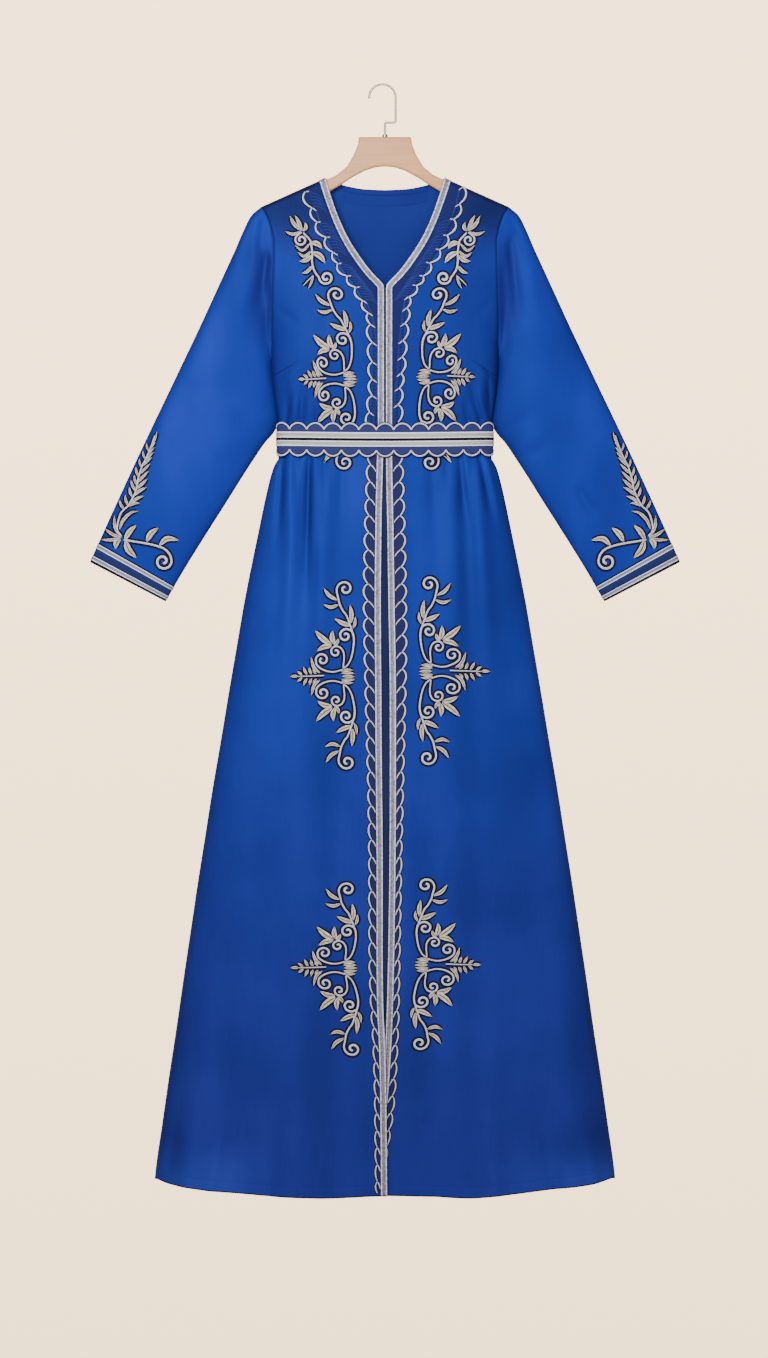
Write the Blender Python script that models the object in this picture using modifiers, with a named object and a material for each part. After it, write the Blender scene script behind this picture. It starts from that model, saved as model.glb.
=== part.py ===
"""A long Moroccan kaftan hanging on a wooden hanger.

Sizes are in millimetres and are turned into metres where a mesh is made.
Garment frame: x from the centre front (the viewer's right is +), y towards the
back (the front faces -Y), z up, with 0 at the inner top of the hanger's hook.
"""

import math

import bmesh
import bpy
import numpy as np
from mathutils import Vector

# ---------------------------------------------------------------- main sizes
MM = 0.001
CLOTH = 1.2            # thickness of the satin wall
BRAID = 1.0            # thickness of the woven braid
SEAM_GAP = 0.3         # half of the gap that parts two sewn edges
GARMENT_X = 3.8        # the garment's centre lies this far right of the hook's top

Z_NECK = -134.6        # shoulder seam at the neck
X_NECK = 86.0
Z_TIP = -176.6         # shoulder seam at the armhole
X_TIP = 179.4
Z_V = -292.0           # bottom of the V neck
Z_UNDERARM = -376.7
Z_WAIST = -514.5
Z_HEM = -1608.0
SHOULDER_SLOPE = (Z_NECK - Z_TIP) / (X_TIP - X_NECK)

RIDGE_DEPTH = 9.2      # how far the cloth stands off the hanger's middle
RIDGE_DROP = 9.0       # over which it rounds the hanger's top edge
SECTION_POWER = 2.6    # shape of the body's cross-section: 2 is an ellipse
ARMHOLE_MID_Z = -250.0
ARMHOLE_DEPTH = {"front": 15.0, "back": 13.0}

# z, half width of the body at the side seam or the armhole seam
SIDE = (
    (-176.6, 179.4), (-191.0, 170.6), (-210.0, 164.6), (-229.0, 161.2), (-262.0, 161.6),
    (-314.0, 163.4), (-359.0, 164.1), (-376.7, 164.0), (-427.0, 162.0), (-452.0, 159.2),
    (-478.0, 155.2), (-489.0, 153.8), (-514.5, 153.4), (-540.0, 154.0), (-552.0, 160.6), (-576.0, 167.8),
    (-610.0, 175.5), (-645.0, 182.7), (-680.0, 190.0), (-749.0, 203.7), (-810.0, 214.2),
    (-880.0, 226.2), (-950.0, 237.8), (-1019.0, 249.6), (-1089.0, 260.6), (-1158.0, 271.5),
    (-1228.0, 281.9), (-1297.0, 292.2), (-1367.0, 302.2), (-1437.0, 312.9), (-1506.0, 322.8),
    (-1576.0, 332.6), (-1608.0, 335.0),
)
# z, how far the middle of the front and of the back stand off the side seams
DEPTH = {
    "front": ((-134.6, 9.0), (-200.0, 14.0), (-262.0, 22.0), (-330.0, 31.0), (-376.0, 33.0),
              (-430.0, 28.0), (-476.0, 21.0), (-489.0, 18.8), (-514.5, 18.5), (-540.0, 18.8), (-552.0, 20.6),
              (-620.0, 26.5), (-760.0, 32.0), (-1000.0, 36.5), (-1300.0, 40.0), (-1608.0, 44.0)),
    "back": ((-134.6, 9.0), (-200.0, 12.0), (-262.0, 16.0), (-330.0, 18.5), (-376.0, 19.0),
             (-430.0, 18.0), (-476.0, 15.6), (-489.0, 14.7), (-514.5, 14.5), (-540.0, 14.7), (-552.0, 15.8),
             (-620.0, 20.0), (-760.0, 24.0), (-1000.0, 28.0), (-1300.0, 31.0), (-1608.0, 35.0)),
}
# z, x of the neckline and centre edge of the left front (mirrored for the right bodice)
NECKLINE = (
    (-134.6, 86.0), (-154.0, 80.3), (-187.5, 69.0), (-222.6, 53.2), (-257.8, 30.8), (-274.8, 17.3),
    (-286.0, 6.6), (-292.0, 2.2), (-298.0, 1.2), (-514.5, 1.1),
)
# x, z of the back neckline
BACK_NECK = ((0.0, -150.6), (30.0, -149.2), (55.0, -144.8), (72.0, -139.9), (86.0, -134.6))
# z, x of the left front skirt's edge, x of the right one's
CENTRE_EDGES = (
    (-514.5, -1.6, 0.8), (-545.0, -2.6, 1.2), (-640.0, -4.8, 3.0), (-746.0, -5.7, 4.6),
    (-892.0, -4.9, 6.7), (-1022.0, -3.9, 6.7), (-1138.0, -2.9, 5.9), (-1240.0, -3.0, 4.5),
    (-1326.0, -2.4, 2.6), (-1384.0, 0.2, 0.2), (-1442.0, 1.8, -3.4), (-1496.0, 2.5, -8.3),
    (-1544.0, 3.0, -14.0), (-1608.0, 3.4, -21.3),
)
# x, z of the hem, front; the back hem hangs a little lower towards its corners
HEM = ((-335.0, -1583.0), (-312.0, -1590.5), (-255.0, -1599.0), (-197.0, -1603.6), (-139.0, -1607.2),
       (-81.0, -1608.4), (0.0, -1605.4), (64.0, -1606.0), (122.0, -1608.2), (180.0, -1604.2),
       (238.0, -1597.4), (296.0, -1591.2), (335.0, -1582.0))
HEM_BACK_DROP = 2.2
FACING_HALF = 64.0     # half width of the facing inside the back neck
# folds that fall from the gathered waist, and rise above it: x at the waist, x at the far end, z of the far
# end, half width at each, height at its highest, and how far from the belt that is
FOLDS = {
    "skirt_front": (
        ("waist_x", "far_x", "far_z", "waist_half", "far_half", "height", "peak"),
        (-131.0, -148.0, -960.0, 9.0, 17.0, 4.6, 55.0),
        (-110.0, -120.0, -860.0, 8.0, 15.0, -3.0, 55.0),
        (-88.0, -96.0, -1040.0, 9.0, 20.0, 3.4, 80.0),
        (-60.0, -66.0, -820.0, 9.0, 17.0, -1.8, 70.0),
        (70.0, 76.0, -820.0, 9.0, 17.0, -1.6, 70.0),
        (95.0, 104.0, -900.0, 9.0, 19.0, 2.8, 75.0),
        (115.0, 128.0, -1040.0, 8.0, 20.0, -3.0, 60.0),
        (134.0, 154.0, -940.0, 9.0, 17.0, 4.8, 50.0),
    ),
    "skirt_back": (
        ("waist_x", "far_x", "far_z", "waist_half", "far_half", "height", "peak"),
        (-124.0, -150.0, -980.0, 10.0, 20.0, 4.2, 60.0),
        (-96.0, -116.0, -880.0, 9.0, 18.0, -3.0, 60.0),
        (-68.0, -84.0, -1100.0, 11.0, 24.0, 4.0, 90.0),
        (-14.0, -14.0, -1020.0, 11.0, 24.0, 3.8, 90.0),
        (14.0, 18.0, -880.0, 9.0, 18.0, -2.6, 60.0),
        (44.0, 58.0, -1100.0, 11.0, 24.0, 4.0, 90.0),
        (98.0, 124.0, -960.0, 10.0, 20.0, 4.2, 60.0),
        (126.0, 158.0, -880.0, 9.0, 18.0, -2.6, 55.0),
    ),
    "bodice_front": (
        ("waist_x", "far_x", "far_z", "waist_half", "far_half", "height", "peak"),
        (-132.0, -136.0, -390.0, 9.0, 13.0, 2.6, 28.0),
        (-98.0, -100.0, -390.0, 9.0, 13.0, 2.2, 30.0),
        (84.0, 88.0, -400.0, 9.0, 13.0, 1.8, 26.0),
        (110.0, 118.0, -390.0, 9.0, 13.0, 2.4, 30.0),
        (134.0, 150.0, -370.0, 8.0, 13.0, 3.4, 34.0),
    ),
    "bodice_back": (
        ("waist_x", "far_x", "far_z", "waist_half", "far_half", "height", "peak"),
        (-124.0, -130.0, -390.0, 10.0, 14.0, 2.6, 28.0),
        (-70.0, -74.0, -380.0, 10.0, 14.0, 2.6, 30.0),
        (-14.0, -14.0, -390.0, 10.0, 14.0, 2.2, 28.0),
        (44.0, 46.0, -380.0, 10.0, 14.0, 2.4, 28.0),
        (98.0, 104.0, -380.0, 10.0, 14.0, 2.8, 30.0),
    ),
}
# soft waves that open towards the hem: x at the hem, x where they start, z where they start, half width, height
HEM_WAVES = {
    "front": (
        ("hem_x", "start_x", "start_z", "half", "height"),
        (-292.0, -196.0, -940.0, 40.0, 7.0),
        (-212.0, -150.0, -1080.0, 38.0, -4.0),
        (-128.0, -96.0, -1000.0, 44.0, 5.0),
        (120.0, 92.0, -1060.0, 42.0, 4.5),
        (206.0, 150.0, -1100.0, 38.0, -4.0),
        (290.0, 200.0, -980.0, 40.0, 7.5),
    ),
    "back": (
        ("hem_x", "start_x", "start_z", "half", "height"),
        (-280.0, -190.0, -960.0, 42.0, 7.0),
        (-176.0, -120.0, -1040.0, 40.0, -5.0),
        (-74.0, -50.0, -960.0, 46.0, 6.5),
        (34.0, 22.0, -1080.0, 40.0, -5.0),
        (140.0, 96.0, -980.0, 44.0, 6.5),
        (236.0, 160.0, -1080.0, 38.0, -4.0),
        (302.0, 212.0, -1000.0, 30.0, 5.0),
    ),
}
# the left sleeve, from the armhole to the cuff: how far along, x and z of its outer edge, x, z and y of its
# inner edge, how far its front and back stand off the middle
SLEEVE = (
    ("along", "outer_x", "outer_z", "inner_x", "inner_z", "inner_y", "half_depth"),
    (0.000, -179.4, -176.6, -164.0, -376.7, 0.0, 14.0),
    (0.040, -193.5, -189.0, -166.0, -392.0, 4.5, 15.0),
    (0.085, -203.5, -208.0, -165.6, -410.0, 9.5, 15.5),
    (0.150, -217.5, -240.0, -163.6, -436.0, 12.5, 16.0),
    (0.220, -234.5, -277.0, -161.4, -462.0, 13.0, 16.5),
    (0.290, -251.5, -314.0, -160.4, -482.0, 12.5, 16.5),
    (0.355, -268.0, -350.0, -164.4, -500.0, 11.0, 16.5),
    (0.430, -287.5, -391.0, -179.5, -524.0, 8.5, 16.0),
    (0.530, -314.0, -446.5, -203.8, -561.5, 5.5, 15.0),
    (0.640, -343.0, -507.0, -229.6, -603.0, 3.0, 14.0),
    (0.760, -370.5, -566.0, -258.8, -649.0, 1.5, 12.5),
    (0.880, -398.5, -627.0, -288.6, -697.0, 0.5, 11.0),
    (1.000, -427.3, -691.4, -318.6, -748.0, 0.0, 10.0),
)
# the belt
BELT_TOP = -488.0
BELT_FOOT = -538.6
BELT_SCALLOPS = 13     # on the front, and as many on the back
BELT_SCALLOP_HEIGHT = 6.5
BELT_CLEAR = 3.4       # belt's middle to the waist's middle
BELT_SAG = 2.0
BELT_BRAIDS = (("upper", -502.2, -511.4), ("lower", -514.4, -523.2))
# braids
BRAID_WIDTH = 9.4
BRAID_LIFT = CLOTH / 2 + 0.3 + BRAID / 2
CUFF_BRAIDS = (("upper", 17.5, 24.5), ("lower", 0.8, 6.8))
# the underlap behind the two centre edges
PLACKET_LAP = 14.0
PLACKET_BEHIND = 3.0
LAP_DEPTH = 5.6        # the right front's edge lies this far behind the left one
LAP_REACH = (1270.0, 1420.0)
SLEEVE_SEAM = 1.0      # gap between the armhole's edge and the sleeve's
# hanger: board thickness, x and z down its upper edge and back along its lower edge
BOARD = 11.6
BOARD_ROUND = 2.4
BOARD_TOP = ((0.0, -75.1), (36.0, -75.1), (38.2, -77.0), (39.2, -86.0), (45.7, -101.8), (55.1, -117.6),
             (69.2, -129.6), (87.3, -138.4), (110.0, -149.0), (140.0, -162.6), (159.0, -171.3),
             (165.0, -176.4), (166.0, -182.0))
BOARD_FOOT = ((163.0, -188.0), (155.0, -188.2), (130.0, -178.0), (100.0, -164.4), (81.8, -155.0),
              (64.5, -144.6), (48.7, -134.1), (29.9, -123.8), (14.2, -118.6), (0.0, -117.3))
WIRE = 3.2
HOOK_RADIUS = 19.2     # of the wire's middle
HOOK_END_Z = -17.6
SHANK_JOG_Z = -53.9


# ---------------------------------------------------------------- the garment's form
def smooth_table(rows, column=1):
    """A smooth curve through a table's first column and another, with no overshoot."""
    ordered = sorted(rows, key=lambda row: row[0])
    place = np.array([row[0] for row in ordered], float)
    value = np.array([row[column] for row in ordered], float)
    step = np.diff(place)
    slope = np.diff(value) / step
    tangent = np.empty_like(value)
    tangent[0], tangent[-1] = slope[0], slope[-1]
    for i in range(1, len(value) - 1):
        a, b = slope[i - 1], slope[i]
        tangent[i] = 0.0 if a * b <= 0 else 2 * a * b / (a + b)

    def read(at):
        at = np.clip(np.asarray(at, float), place[0], place[-1])
        i = np.clip(np.searchsorted(place, at) - 1, 0, len(step) - 1)
        t = (at - place[i]) / step[i]
        return (
            value[i] * (1 + 2 * t) * (1 - t) ** 2
            + tangent[i] * step[i] * t * (1 - t) ** 2
            + value[i + 1] * t * t * (3 - 2 * t)
            + tangent[i + 1] * step[i] * t * t * (t - 1)
        )

    return read


def smoothstep(value, start, end):
    t = np.clip((np.asarray(value, float) - start) / (end - start), 0, 1)
    return t * t * (3 - 2 * t)


half_width = smooth_table(SIDE)
depth_of = {face: smooth_table(rows) for face, rows in DEPTH.items()}
neckline_x = smooth_table(NECKLINE)
back_neck_z = smooth_table(BACK_NECK)
centre_left = smooth_table(CENTRE_EDGES, 1)
centre_right = smooth_table(CENTRE_EDGES, 2)
hem_z = smooth_table(HEM)


def ridge_z(x):
    """Height of the shoulder ridge at x, carried on over the neck."""
    return Z_NECK - (np.abs(x) - X_NECK) * SHOULDER_SLOPE


def armhole_depth(z, face):
    """How far the armhole's edge stands off the middle: nothing at the underarm."""
    z = np.asarray(z, float)
    below = np.clip((ARMHOLE_MID_Z - z) / (ARMHOLE_MID_Z - Z_UNDERARM), 0, 1)
    above = np.clip((z - ARMHOLE_MID_Z) / (Z_TIP - ARMHOLE_MID_Z), 0, 1)
    return ARMHOLE_DEPTH[face] * np.sqrt(1 - below**2) * (1 - 0.25 * above**2)


def fold_relief(x, z, folds):
    """Height of the waist folds at a point."""
    total = np.zeros(np.broadcast(x, z).shape)
    for waist_x, far_x, far_z, waist_half, far_half, height, peak in folds[1:]:
        down = far_z < Z_WAIST
        edge = BELT_FOOT + 3 if down else BELT_TOP - 3
        away = (edge - z) if down else (z - edge)
        reach = abs(far_z - edge)
        along = np.clip(away / reach, 0, 1)
        centre = waist_x + (far_x - waist_x) * along
        half = waist_half + (far_half - waist_half) * along
        rise = np.clip(away / peak, 0, 1)
        envelope = np.sin(rise * math.pi / 2) ** 1.2 * (1 - smoothstep(along, 0.35, 1.0))
        total = total + height * envelope * np.exp(-(((x - centre) / half) ** 2))
    return total


def wave_relief(x, z, face):
    """Height of the waves that open towards the hem."""
    total = np.zeros(np.broadcast(x, z).shape)
    for hem_x, start_x, start_z, half, height in HEM_WAVES[face][1:]:
        along = np.clip((start_z - z) / (start_z - Z_HEM), 0, 1)
        centre = start_x + (hem_x - start_x) * along
        total = total + height * along**1.6 * np.exp(-(((x - centre) / (half * (0.6 + 0.4 * along))) ** 2))
    return total


def body_depth(x, z, face):
    """Distance of the cloth's middle from the plane of the side seams."""
    x, z = np.asarray(x, float), np.asarray(z, float)
    across = np.clip(np.abs(x) / half_width(z), 0, 1)
    deep = depth_of[face](z)
    edge = np.where(z > Z_UNDERARM, np.minimum(armhole_depth(z, face), deep * 0.98), 0.0)
    chest = np.sqrt(np.maximum((deep**2 - edge**2) * (1 - across**SECTION_POWER), 0) + edge**2)
    below = ridge_z(x) - z
    rounding = 1 - np.clip(below / RIDGE_DROP, 0, 1)
    shoulder = RIDGE_DEPTH * (1 - rounding**2.3) ** (1 / 2.3)
    share = smoothstep(below, 6, 130)
    depth = shoulder * (1 - share) + chest * share
    relief = np.where(
        z < Z_WAIST,
        fold_relief(x, z, FOLDS["skirt_" + face]) + wave_relief(x, z, face),
        fold_relief(x, z, FOLDS["bodice_" + face]),
    )
    inside = 1 - across**8
    return np.maximum(depth + relief * inside, SEAM_GAP)


def lap(x, z):
    """How far the right front's edge drops behind the left one near the hem."""
    near = 1 - smoothstep(x - centre_right(z), 10.0, 90.0)
    return LAP_DEPTH * smoothstep(-np.asarray(z, float), *LAP_REACH) * near


def front_point(x, z, right=False, lift=0.0):
    """A point of the front's cloth, and its outward normal, lifted off the cloth's middle."""

    def depth(px, pz):
        return body_depth(px, pz, "front") - (lap(px, pz) if right else 0.0)

    return lifted(x, z, depth, -1.0, lift)


def back_point(x, z, lift=0.0):
    return lifted(x, z, lambda px, pz: body_depth(px, pz, "back"), 1.0, lift)


def lifted(x, z, depth, facing, lift):
    x, z = np.broadcast_arrays(np.asarray(x, float), np.asarray(z, float))
    base = depth(x, z)
    if lift:
        step = 0.8
        dx = (depth(x + step, z) - depth(x - step, z)) / (2 * step)
        dz = (depth(x, z + step) - depth(x, z - step)) / (2 * step)
        size = np.sqrt(1 + dx**2 + dz**2)
        x = x - dx / size * lift
        z = z - dz / size * lift
        base = base + lift / size
    return np.stack([x, facing * base, z], -1)


def coons(u, v, left, right, foot, top):
    """A patch between four edges, each a function that gives x and z."""
    u, v = u[..., None], v[..., None]
    lu, ru = left(v[..., 0]), right(v[..., 0])
    fv, tv = foot(u[..., 0]), top(u[..., 0])
    zero, one = np.zeros(1), np.ones(1)
    c00, c10, c01, c11 = foot(zero)[0], foot(one)[0], top(zero)[0], top(one)[0]
    return (
        (1 - u) * lu + u * ru + (1 - v) * fv + v * tv
        - ((1 - u) * (1 - v) * c00 + u * (1 - v) * c10 + (1 - u) * v * c01 + u * v * c11)
    )


def side_z(v, foot_z, top_z):
    return foot_z + (top_z - foot_z) * v


def neck_edge(v):
    """The neckline and centre edge of the left front."""
    z = side_z(v, Z_WAIST + SEAM_GAP, Z_NECK)
    return np.stack([-neckline_x(z), z], -1)


def neck_inner(v):
    """The line that runs a braid's width inside the neckline; at the top it follows the shoulder."""
    v = np.asarray(v, float)
    step = 0.008
    tangent = neck_edge(np.clip(v + step, 0, 1)) - neck_edge(np.clip(v - step, 0, 1))
    tangent /= np.linalg.norm(tangent, axis=-1, keepdims=True)
    line = neck_edge(v) + np.stack([-tangent[..., 1], tangent[..., 0]], -1) * BRAID_WIDTH
    corner = np.array([-X_NECK - BRAID_WIDTH, float(ridge_z(X_NECK + BRAID_WIDTH))])
    shoulder = neck_edge(np.ones(1))[0]
    end = neck_edge(np.ones(1))[0] - neck_edge(np.ones(1) - step)[0]
    end /= np.linalg.norm(end)
    drawn = shoulder + np.array([-end[1], end[0]]) * BRAID_WIDTH
    return line + smoothstep(v, 0.86, 1.0)[..., None] * (corner - drawn)


def bodice_front_plan(u, v):
    """x and z of the left bodice front: u from the side (0) to the braid's inner line (1) and on to the
    neckline (2), v from the waist up."""
    foot_z = Z_WAIST + SEAM_GAP
    inner_x = 1.1 + BRAID_WIDTH
    top_x = X_NECK + BRAID_WIDTH
    across = np.clip(u, 0, 1)
    panel = coons(
        across, v,
        lambda v: np.stack([-half_width(side_z(v, foot_z, Z_TIP)), side_z(v, foot_z, Z_TIP)], -1),
        neck_inner,
        lambda u: np.stack([-half_width(foot_z) * (1 - u) - inner_x * u, foot_z + 0 * u], -1),
        lambda u: np.stack([-X_TIP + (X_TIP - top_x) * u, ridge_z(-X_TIP + (X_TIP - top_x) * u)], -1),
    )
    beyond = np.clip(u - 1, 0, 1)[..., None]
    return np.where(beyond > 0, neck_inner(v) * (1 - beyond) + neck_edge(v) * beyond, panel)


def bodice_back_plan(u, v):
    """The same for the left half of the back; its top runs along the shoulder and the back neck."""
    foot_z = Z_WAIST + SEAM_GAP
    turn = (X_TIP - X_NECK) / X_TIP

    def top(u):
        x = -X_TIP * (1 - u)
        z = np.where(u < turn, Z_TIP + (Z_NECK - Z_TIP) * np.minimum(u / turn, 1), back_neck_z(-x))
        return np.stack([x, z], -1)

    centre_z = float(back_neck_z(0.0))
    return coons(
        u, v,
        lambda v: np.stack([-half_width(side_z(v, foot_z, Z_TIP)), side_z(v, foot_z, Z_TIP)], -1),
        lambda v: np.stack([0 * v, side_z(v, foot_z, centre_z)], -1),
        lambda u: np.stack([-half_width(foot_z) * (1 - u), foot_z + 0 * u], -1),
        top,
    )


def skirt_plan(u, v, side, centre, hem):
    """x and z of a front skirt: u from the side (0) to the braid's inner line (1) and on to the centre
    edge (2), v from the hem up to the waist. side is -1 for the left and 1 for the right."""
    top_z = Z_WAIST - SEAM_GAP
    u = np.asarray(u, float)

    def x_at(z):
        edge = centre(z)
        inner = edge + side * BRAID_WIDTH
        outer = side * half_width(z)
        return np.where(u <= 1, outer * (1 - u) + inner * u, inner * (2 - u) + edge * (u - 1))

    foot_z = hem(x_at(np.full(u.shape, Z_HEM + 12.0)))
    z = foot_z + (top_z - foot_z) * v
    return np.stack([x_at(z), z], -1)


def skirt_back_plan(u, v):
    top_z = Z_WAIST - SEAM_GAP
    spread = 2 * np.asarray(u, float) - 1
    foot_x = spread * half_width(Z_HEM + 12.0)
    foot_z = hem_z(foot_x) - HEM_BACK_DROP * smoothstep(np.abs(foot_x), 120, 300)
    z = foot_z + (top_z - foot_z) * v
    return np.stack([spread * half_width(z), z], -1)


sleeve_column = {
    name: smooth_table(SLEEVE[1:], SLEEVE[0].index(name)) for name in SLEEVE[0][1:]
}
ARMHOLE_MIDDLE = (Z_TIP + Z_UNDERARM) / 2
ARMHOLE_HALF = (Z_TIP - Z_UNDERARM) / 2


def sleeve_point(along, turn):
    """A point of the left sleeve: along from 0 at the armhole to 1 at the cuff, turn from 0 at the shoulder
    over the front to half at the underarm, and over the back to 1."""
    along, turn = np.broadcast_arrays(np.asarray(along, float), np.asarray(turn, float))
    angle = turn * 2 * math.pi
    cosine, sine = np.cos(angle), np.sin(angle)

    def ring(value):
        c = np.sign(cosine) * np.abs(cosine) ** 0.86
        mid_x, mid_z = (value["outer_x"] + value["inner_x"]) / 2, (value["outer_z"] + value["inner_z"]) / 2
        half_x, half_z = (value["outer_x"] - value["inner_x"]) / 2, (value["outer_z"] - value["inner_z"]) / 2
        y = value["inner_y"] * (1 - c) / 2 - value["half_depth"] * np.sign(sine) * np.abs(sine) ** 0.9
        return np.stack([mid_x + half_x * c, y, mid_z + half_z * c], -1)

    here = ring({name: column(along) for name, column in sleeve_column.items()})
    start = ring({name: column(np.zeros_like(along)) for name, column in sleeve_column.items()})
    armhole_z = ARMHOLE_MIDDLE + ARMHOLE_HALF * cosine
    width = half_width(armhole_z)
    deep = np.where(sine >= 0, -body_depth(width, armhole_z, "front"), body_depth(width, armhole_z, "back"))
    deep = np.where(np.abs(sine) < 1e-6, 0.0, deep)
    seam = np.stack([-width - SLEEVE_SEAM, deep, armhole_z], -1)
    keep = (1 - smoothstep(along, 0.0, 0.22))[..., None]
    return here + keep * (seam - start)


# ---------------------------------------------------------------- grids of points
def even_normals(points, down):
    """Normals of a closed ring, longer at its folds, so that what is moved out along them clears both sides."""
    before = points - np.roll(points, 1, 1)
    before[:, 0] = points[:, 0] - points[:, -2]
    after = np.roll(points, -1, 1) - points
    after[:, -1] = points[:, 1] - points[:, -1]

    def unit(values):
        return values / np.maximum(np.linalg.norm(values, axis=-1, keepdims=True), 1e-9)

    first, second = unit(np.cross(before, down)), unit(np.cross(after, down))
    middle = unit(first + second)
    return middle / np.maximum(np.sum(middle * first, -1, keepdims=True), 0.3)


class Sheet:
    """A grid of points: rows run along the second place, columns along the first."""

    def __init__(self, shape, across, down, closed=False):
        self.across, self.down = np.asarray(across, float), np.asarray(down, float)
        u, v = np.meshgrid(self.across, self.down)
        self.points = shape(u, v)
        self.closed = closed
        p = self.points
        if closed:
            du = np.roll(p, -1, 1)[:, :] - np.roll(p, 1, 1)
            du[:, 0] = du[:, -1] = p[:, 1] - p[:, -2]
        else:
            du = np.gradient(p, axis=1)
        dv = np.gradient(p, axis=0)
        normal = np.cross(du, dv)
        self.normals = normal / np.maximum(np.linalg.norm(normal, axis=-1, keepdims=True), 1e-9)
        if closed:
            self.normals = even_normals(p, dv)

    def outward(self, middle):
        """Turns the normals away from a point given for each row."""
        sign = np.sign(np.sum(self.normals * (self.points - middle), -1, keepdims=True))
        self.normals = self.normals * np.where(sign == 0, 1, sign)
        return self

    def at(self, column, row):
        """Points and normals at fractional places in the grid, on its flat facets."""
        rows, columns = self.points.shape[:2]
        i = np.clip(np.floor(column).astype(int), 0, columns - 2)
        j = np.clip(np.floor(row).astype(int), 0, rows - 2)
        s, t = (column - i)[..., None], (row - j)[..., None]

        def mix(values):
            return ((1 - s) * (1 - t) * values[j, i] + s * (1 - t) * values[j, i + 1]
                    + (1 - s) * t * values[j + 1, i] + s * t * values[j + 1, i + 1])

        return mix(self.points), mix(self.normals)


def grid_lines(places, low, high):
    """The fractional grid places from low to high: both ends and every line between them."""
    lines = np.interp([low, high], places, range(len(places)))
    inside = [k for k in range(len(places)) if lines[0] + 0.02 < k < lines[1] - 0.02]
    return [lines[0], *inside, lines[1]]


# ---------------------------------------------------------------- making meshes
def clear_scene():
    for obj in list(bpy.data.objects):
        bpy.data.objects.remove(obj, do_unlink=True)


def collection(name):
    made = bpy.data.collections.new(name)
    bpy.context.scene.collection.children.link(made)
    return made


def material(name, colour, roughness, metallic=0.0):
    made = bpy.data.materials.new(name)
    made.use_nodes = True
    shader = made.node_tree.nodes["Principled BSDF"]
    shader.inputs["Base Color"].default_value = (*colour, 1)
    shader.inputs["Roughness"].default_value = roughness
    shader.inputs["Metallic"].default_value = metallic
    return made


def add(name, data, group, parent, finish):
    obj = bpy.data.objects.new(name, data)
    group.objects.link(obj)
    obj.parent = parent
    data.materials.append(finish)
    return obj


def wall(name, points, group, parent, finish, thickness, closed=False):
    """A grid primitive whose corners are moved to the given points, thickened to both sides."""
    rows, columns = points.shape[:2]
    mesh = bmesh.new()
    bmesh.ops.create_grid(mesh, x_segments=columns - 1, y_segments=rows - 1, size=0.5)
    for vert in mesh.verts:
        i = round((vert.co.x + 0.5) * (columns - 1))
        j = round((vert.co.y + 0.5) * (rows - 1))
        vert.co = Vector(points[j, i]) * MM
    if closed:
        bmesh.ops.remove_doubles(mesh, verts=mesh.verts, dist=1e-6)
    data = bpy.data.meshes.new(name)
    mesh.to_mesh(data)
    mesh.free()
    data.shade_smooth()
    obj = add(name, data, group, parent, finish)
    shell = obj.modifiers.new("wall", "SOLIDIFY")
    shell.thickness = thickness * MM
    shell.offset = 0.0
    shell.use_even_offset = True
    shell.use_quality_normals = True
    return obj


def mirrored(points):
    return points * np.array([-1.0, 1.0, 1.0])


def belt_loop(angle):
    """x and y of the belt's middle; the angle starts at the right side and runs over the back."""
    c, s = np.cos(angle), np.sin(angle)
    power = 2 / SECTION_POWER
    half = float(half_width(Z_WAIST)) + BELT_CLEAR
    front = float(depth_of["front"](Z_WAIST)) + BELT_CLEAR + 0.4
    back = float(depth_of["back"](Z_WAIST)) + BELT_CLEAR + 0.4
    x = half * np.sign(c) * np.abs(c) ** power
    y = np.where(s > 0, back, front) * np.sign(s) * np.abs(s) ** power
    return x, y


def belt_ring():
    """x, y and the place within a scallop for each line of the belt."""
    found = []
    for start in (math.pi, 0.0):
        angle = start + np.linspace(0, math.pi, 2001)
        x, y = belt_loop(angle)
        run = np.concatenate([[0], np.cumsum(np.hypot(np.diff(x), np.diff(y)))])
        run /= run[-1]
        places = [k / (2 * BELT_SCALLOPS) for k in range(2 * BELT_SCALLOPS + 1)]
        places += [k / 8 / BELT_SCALLOPS for k in (1, 2)] + [1 - k / 8 / BELT_SCALLOPS for k in (1, 2)]
        places = sorted(places)
        at = np.interp(places, run, angle)
        bx, by = belt_loop(at)
        found += [(a, b, (p * BELT_SCALLOPS) % 1.0) for a, b, p in zip(bx, by, places)][: -1]
    found.append(found[0])
    return np.array(found)


def belt_sheet():
    ring = belt_ring()
    arc = (1 - (2 * ring[:, 2] - 1) ** 2) ** 0.8
    drop = BELT_SCALLOP_HEIGHT * (1 - arc)
    sag = -BELT_SAG * np.clip(1 - (ring[:, 0] / 150.0) ** 2, 0, 1) * np.where(ring[:, 1] < 0, 1.0, 0.0)
    levels = (BELT_FOOT + drop * 1.3, BELT_TOP - drop)
    sheet = Sheet(lambda u, v: np.zeros((*u.shape, 3)), range(len(ring)), (0, 1), closed=True)
    sheet.points = np.stack([np.stack([ring[:, 0], ring[:, 1], z + sag], -1) for z in levels])
    level = sheet.points * np.array([1.0, 1.0, 0.0])
    sheet.normals = even_normals(level, np.zeros_like(level) + np.array([0, 0, 1.0]))
    sheet.outward(np.zeros(3))
    sheet.sag = sag
    return sheet


def curve_object(name, points, radius, group, parent, finish, resolution=2):
    """A round wire along points in millimetres."""
    data = bpy.data.curves.new(name, "CURVE")
    data.dimensions = "3D"
    spline = data.splines.new("POLY")
    spline.points.add(len(points) - 1)
    for target, place in zip(spline.points, points):
        target.co = (*(Vector(place) * MM), 1)
    data.bevel_depth = radius * MM
    data.bevel_resolution = resolution
    data.use_fill_caps = True
    return add(name, data, group, parent, finish)


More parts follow.
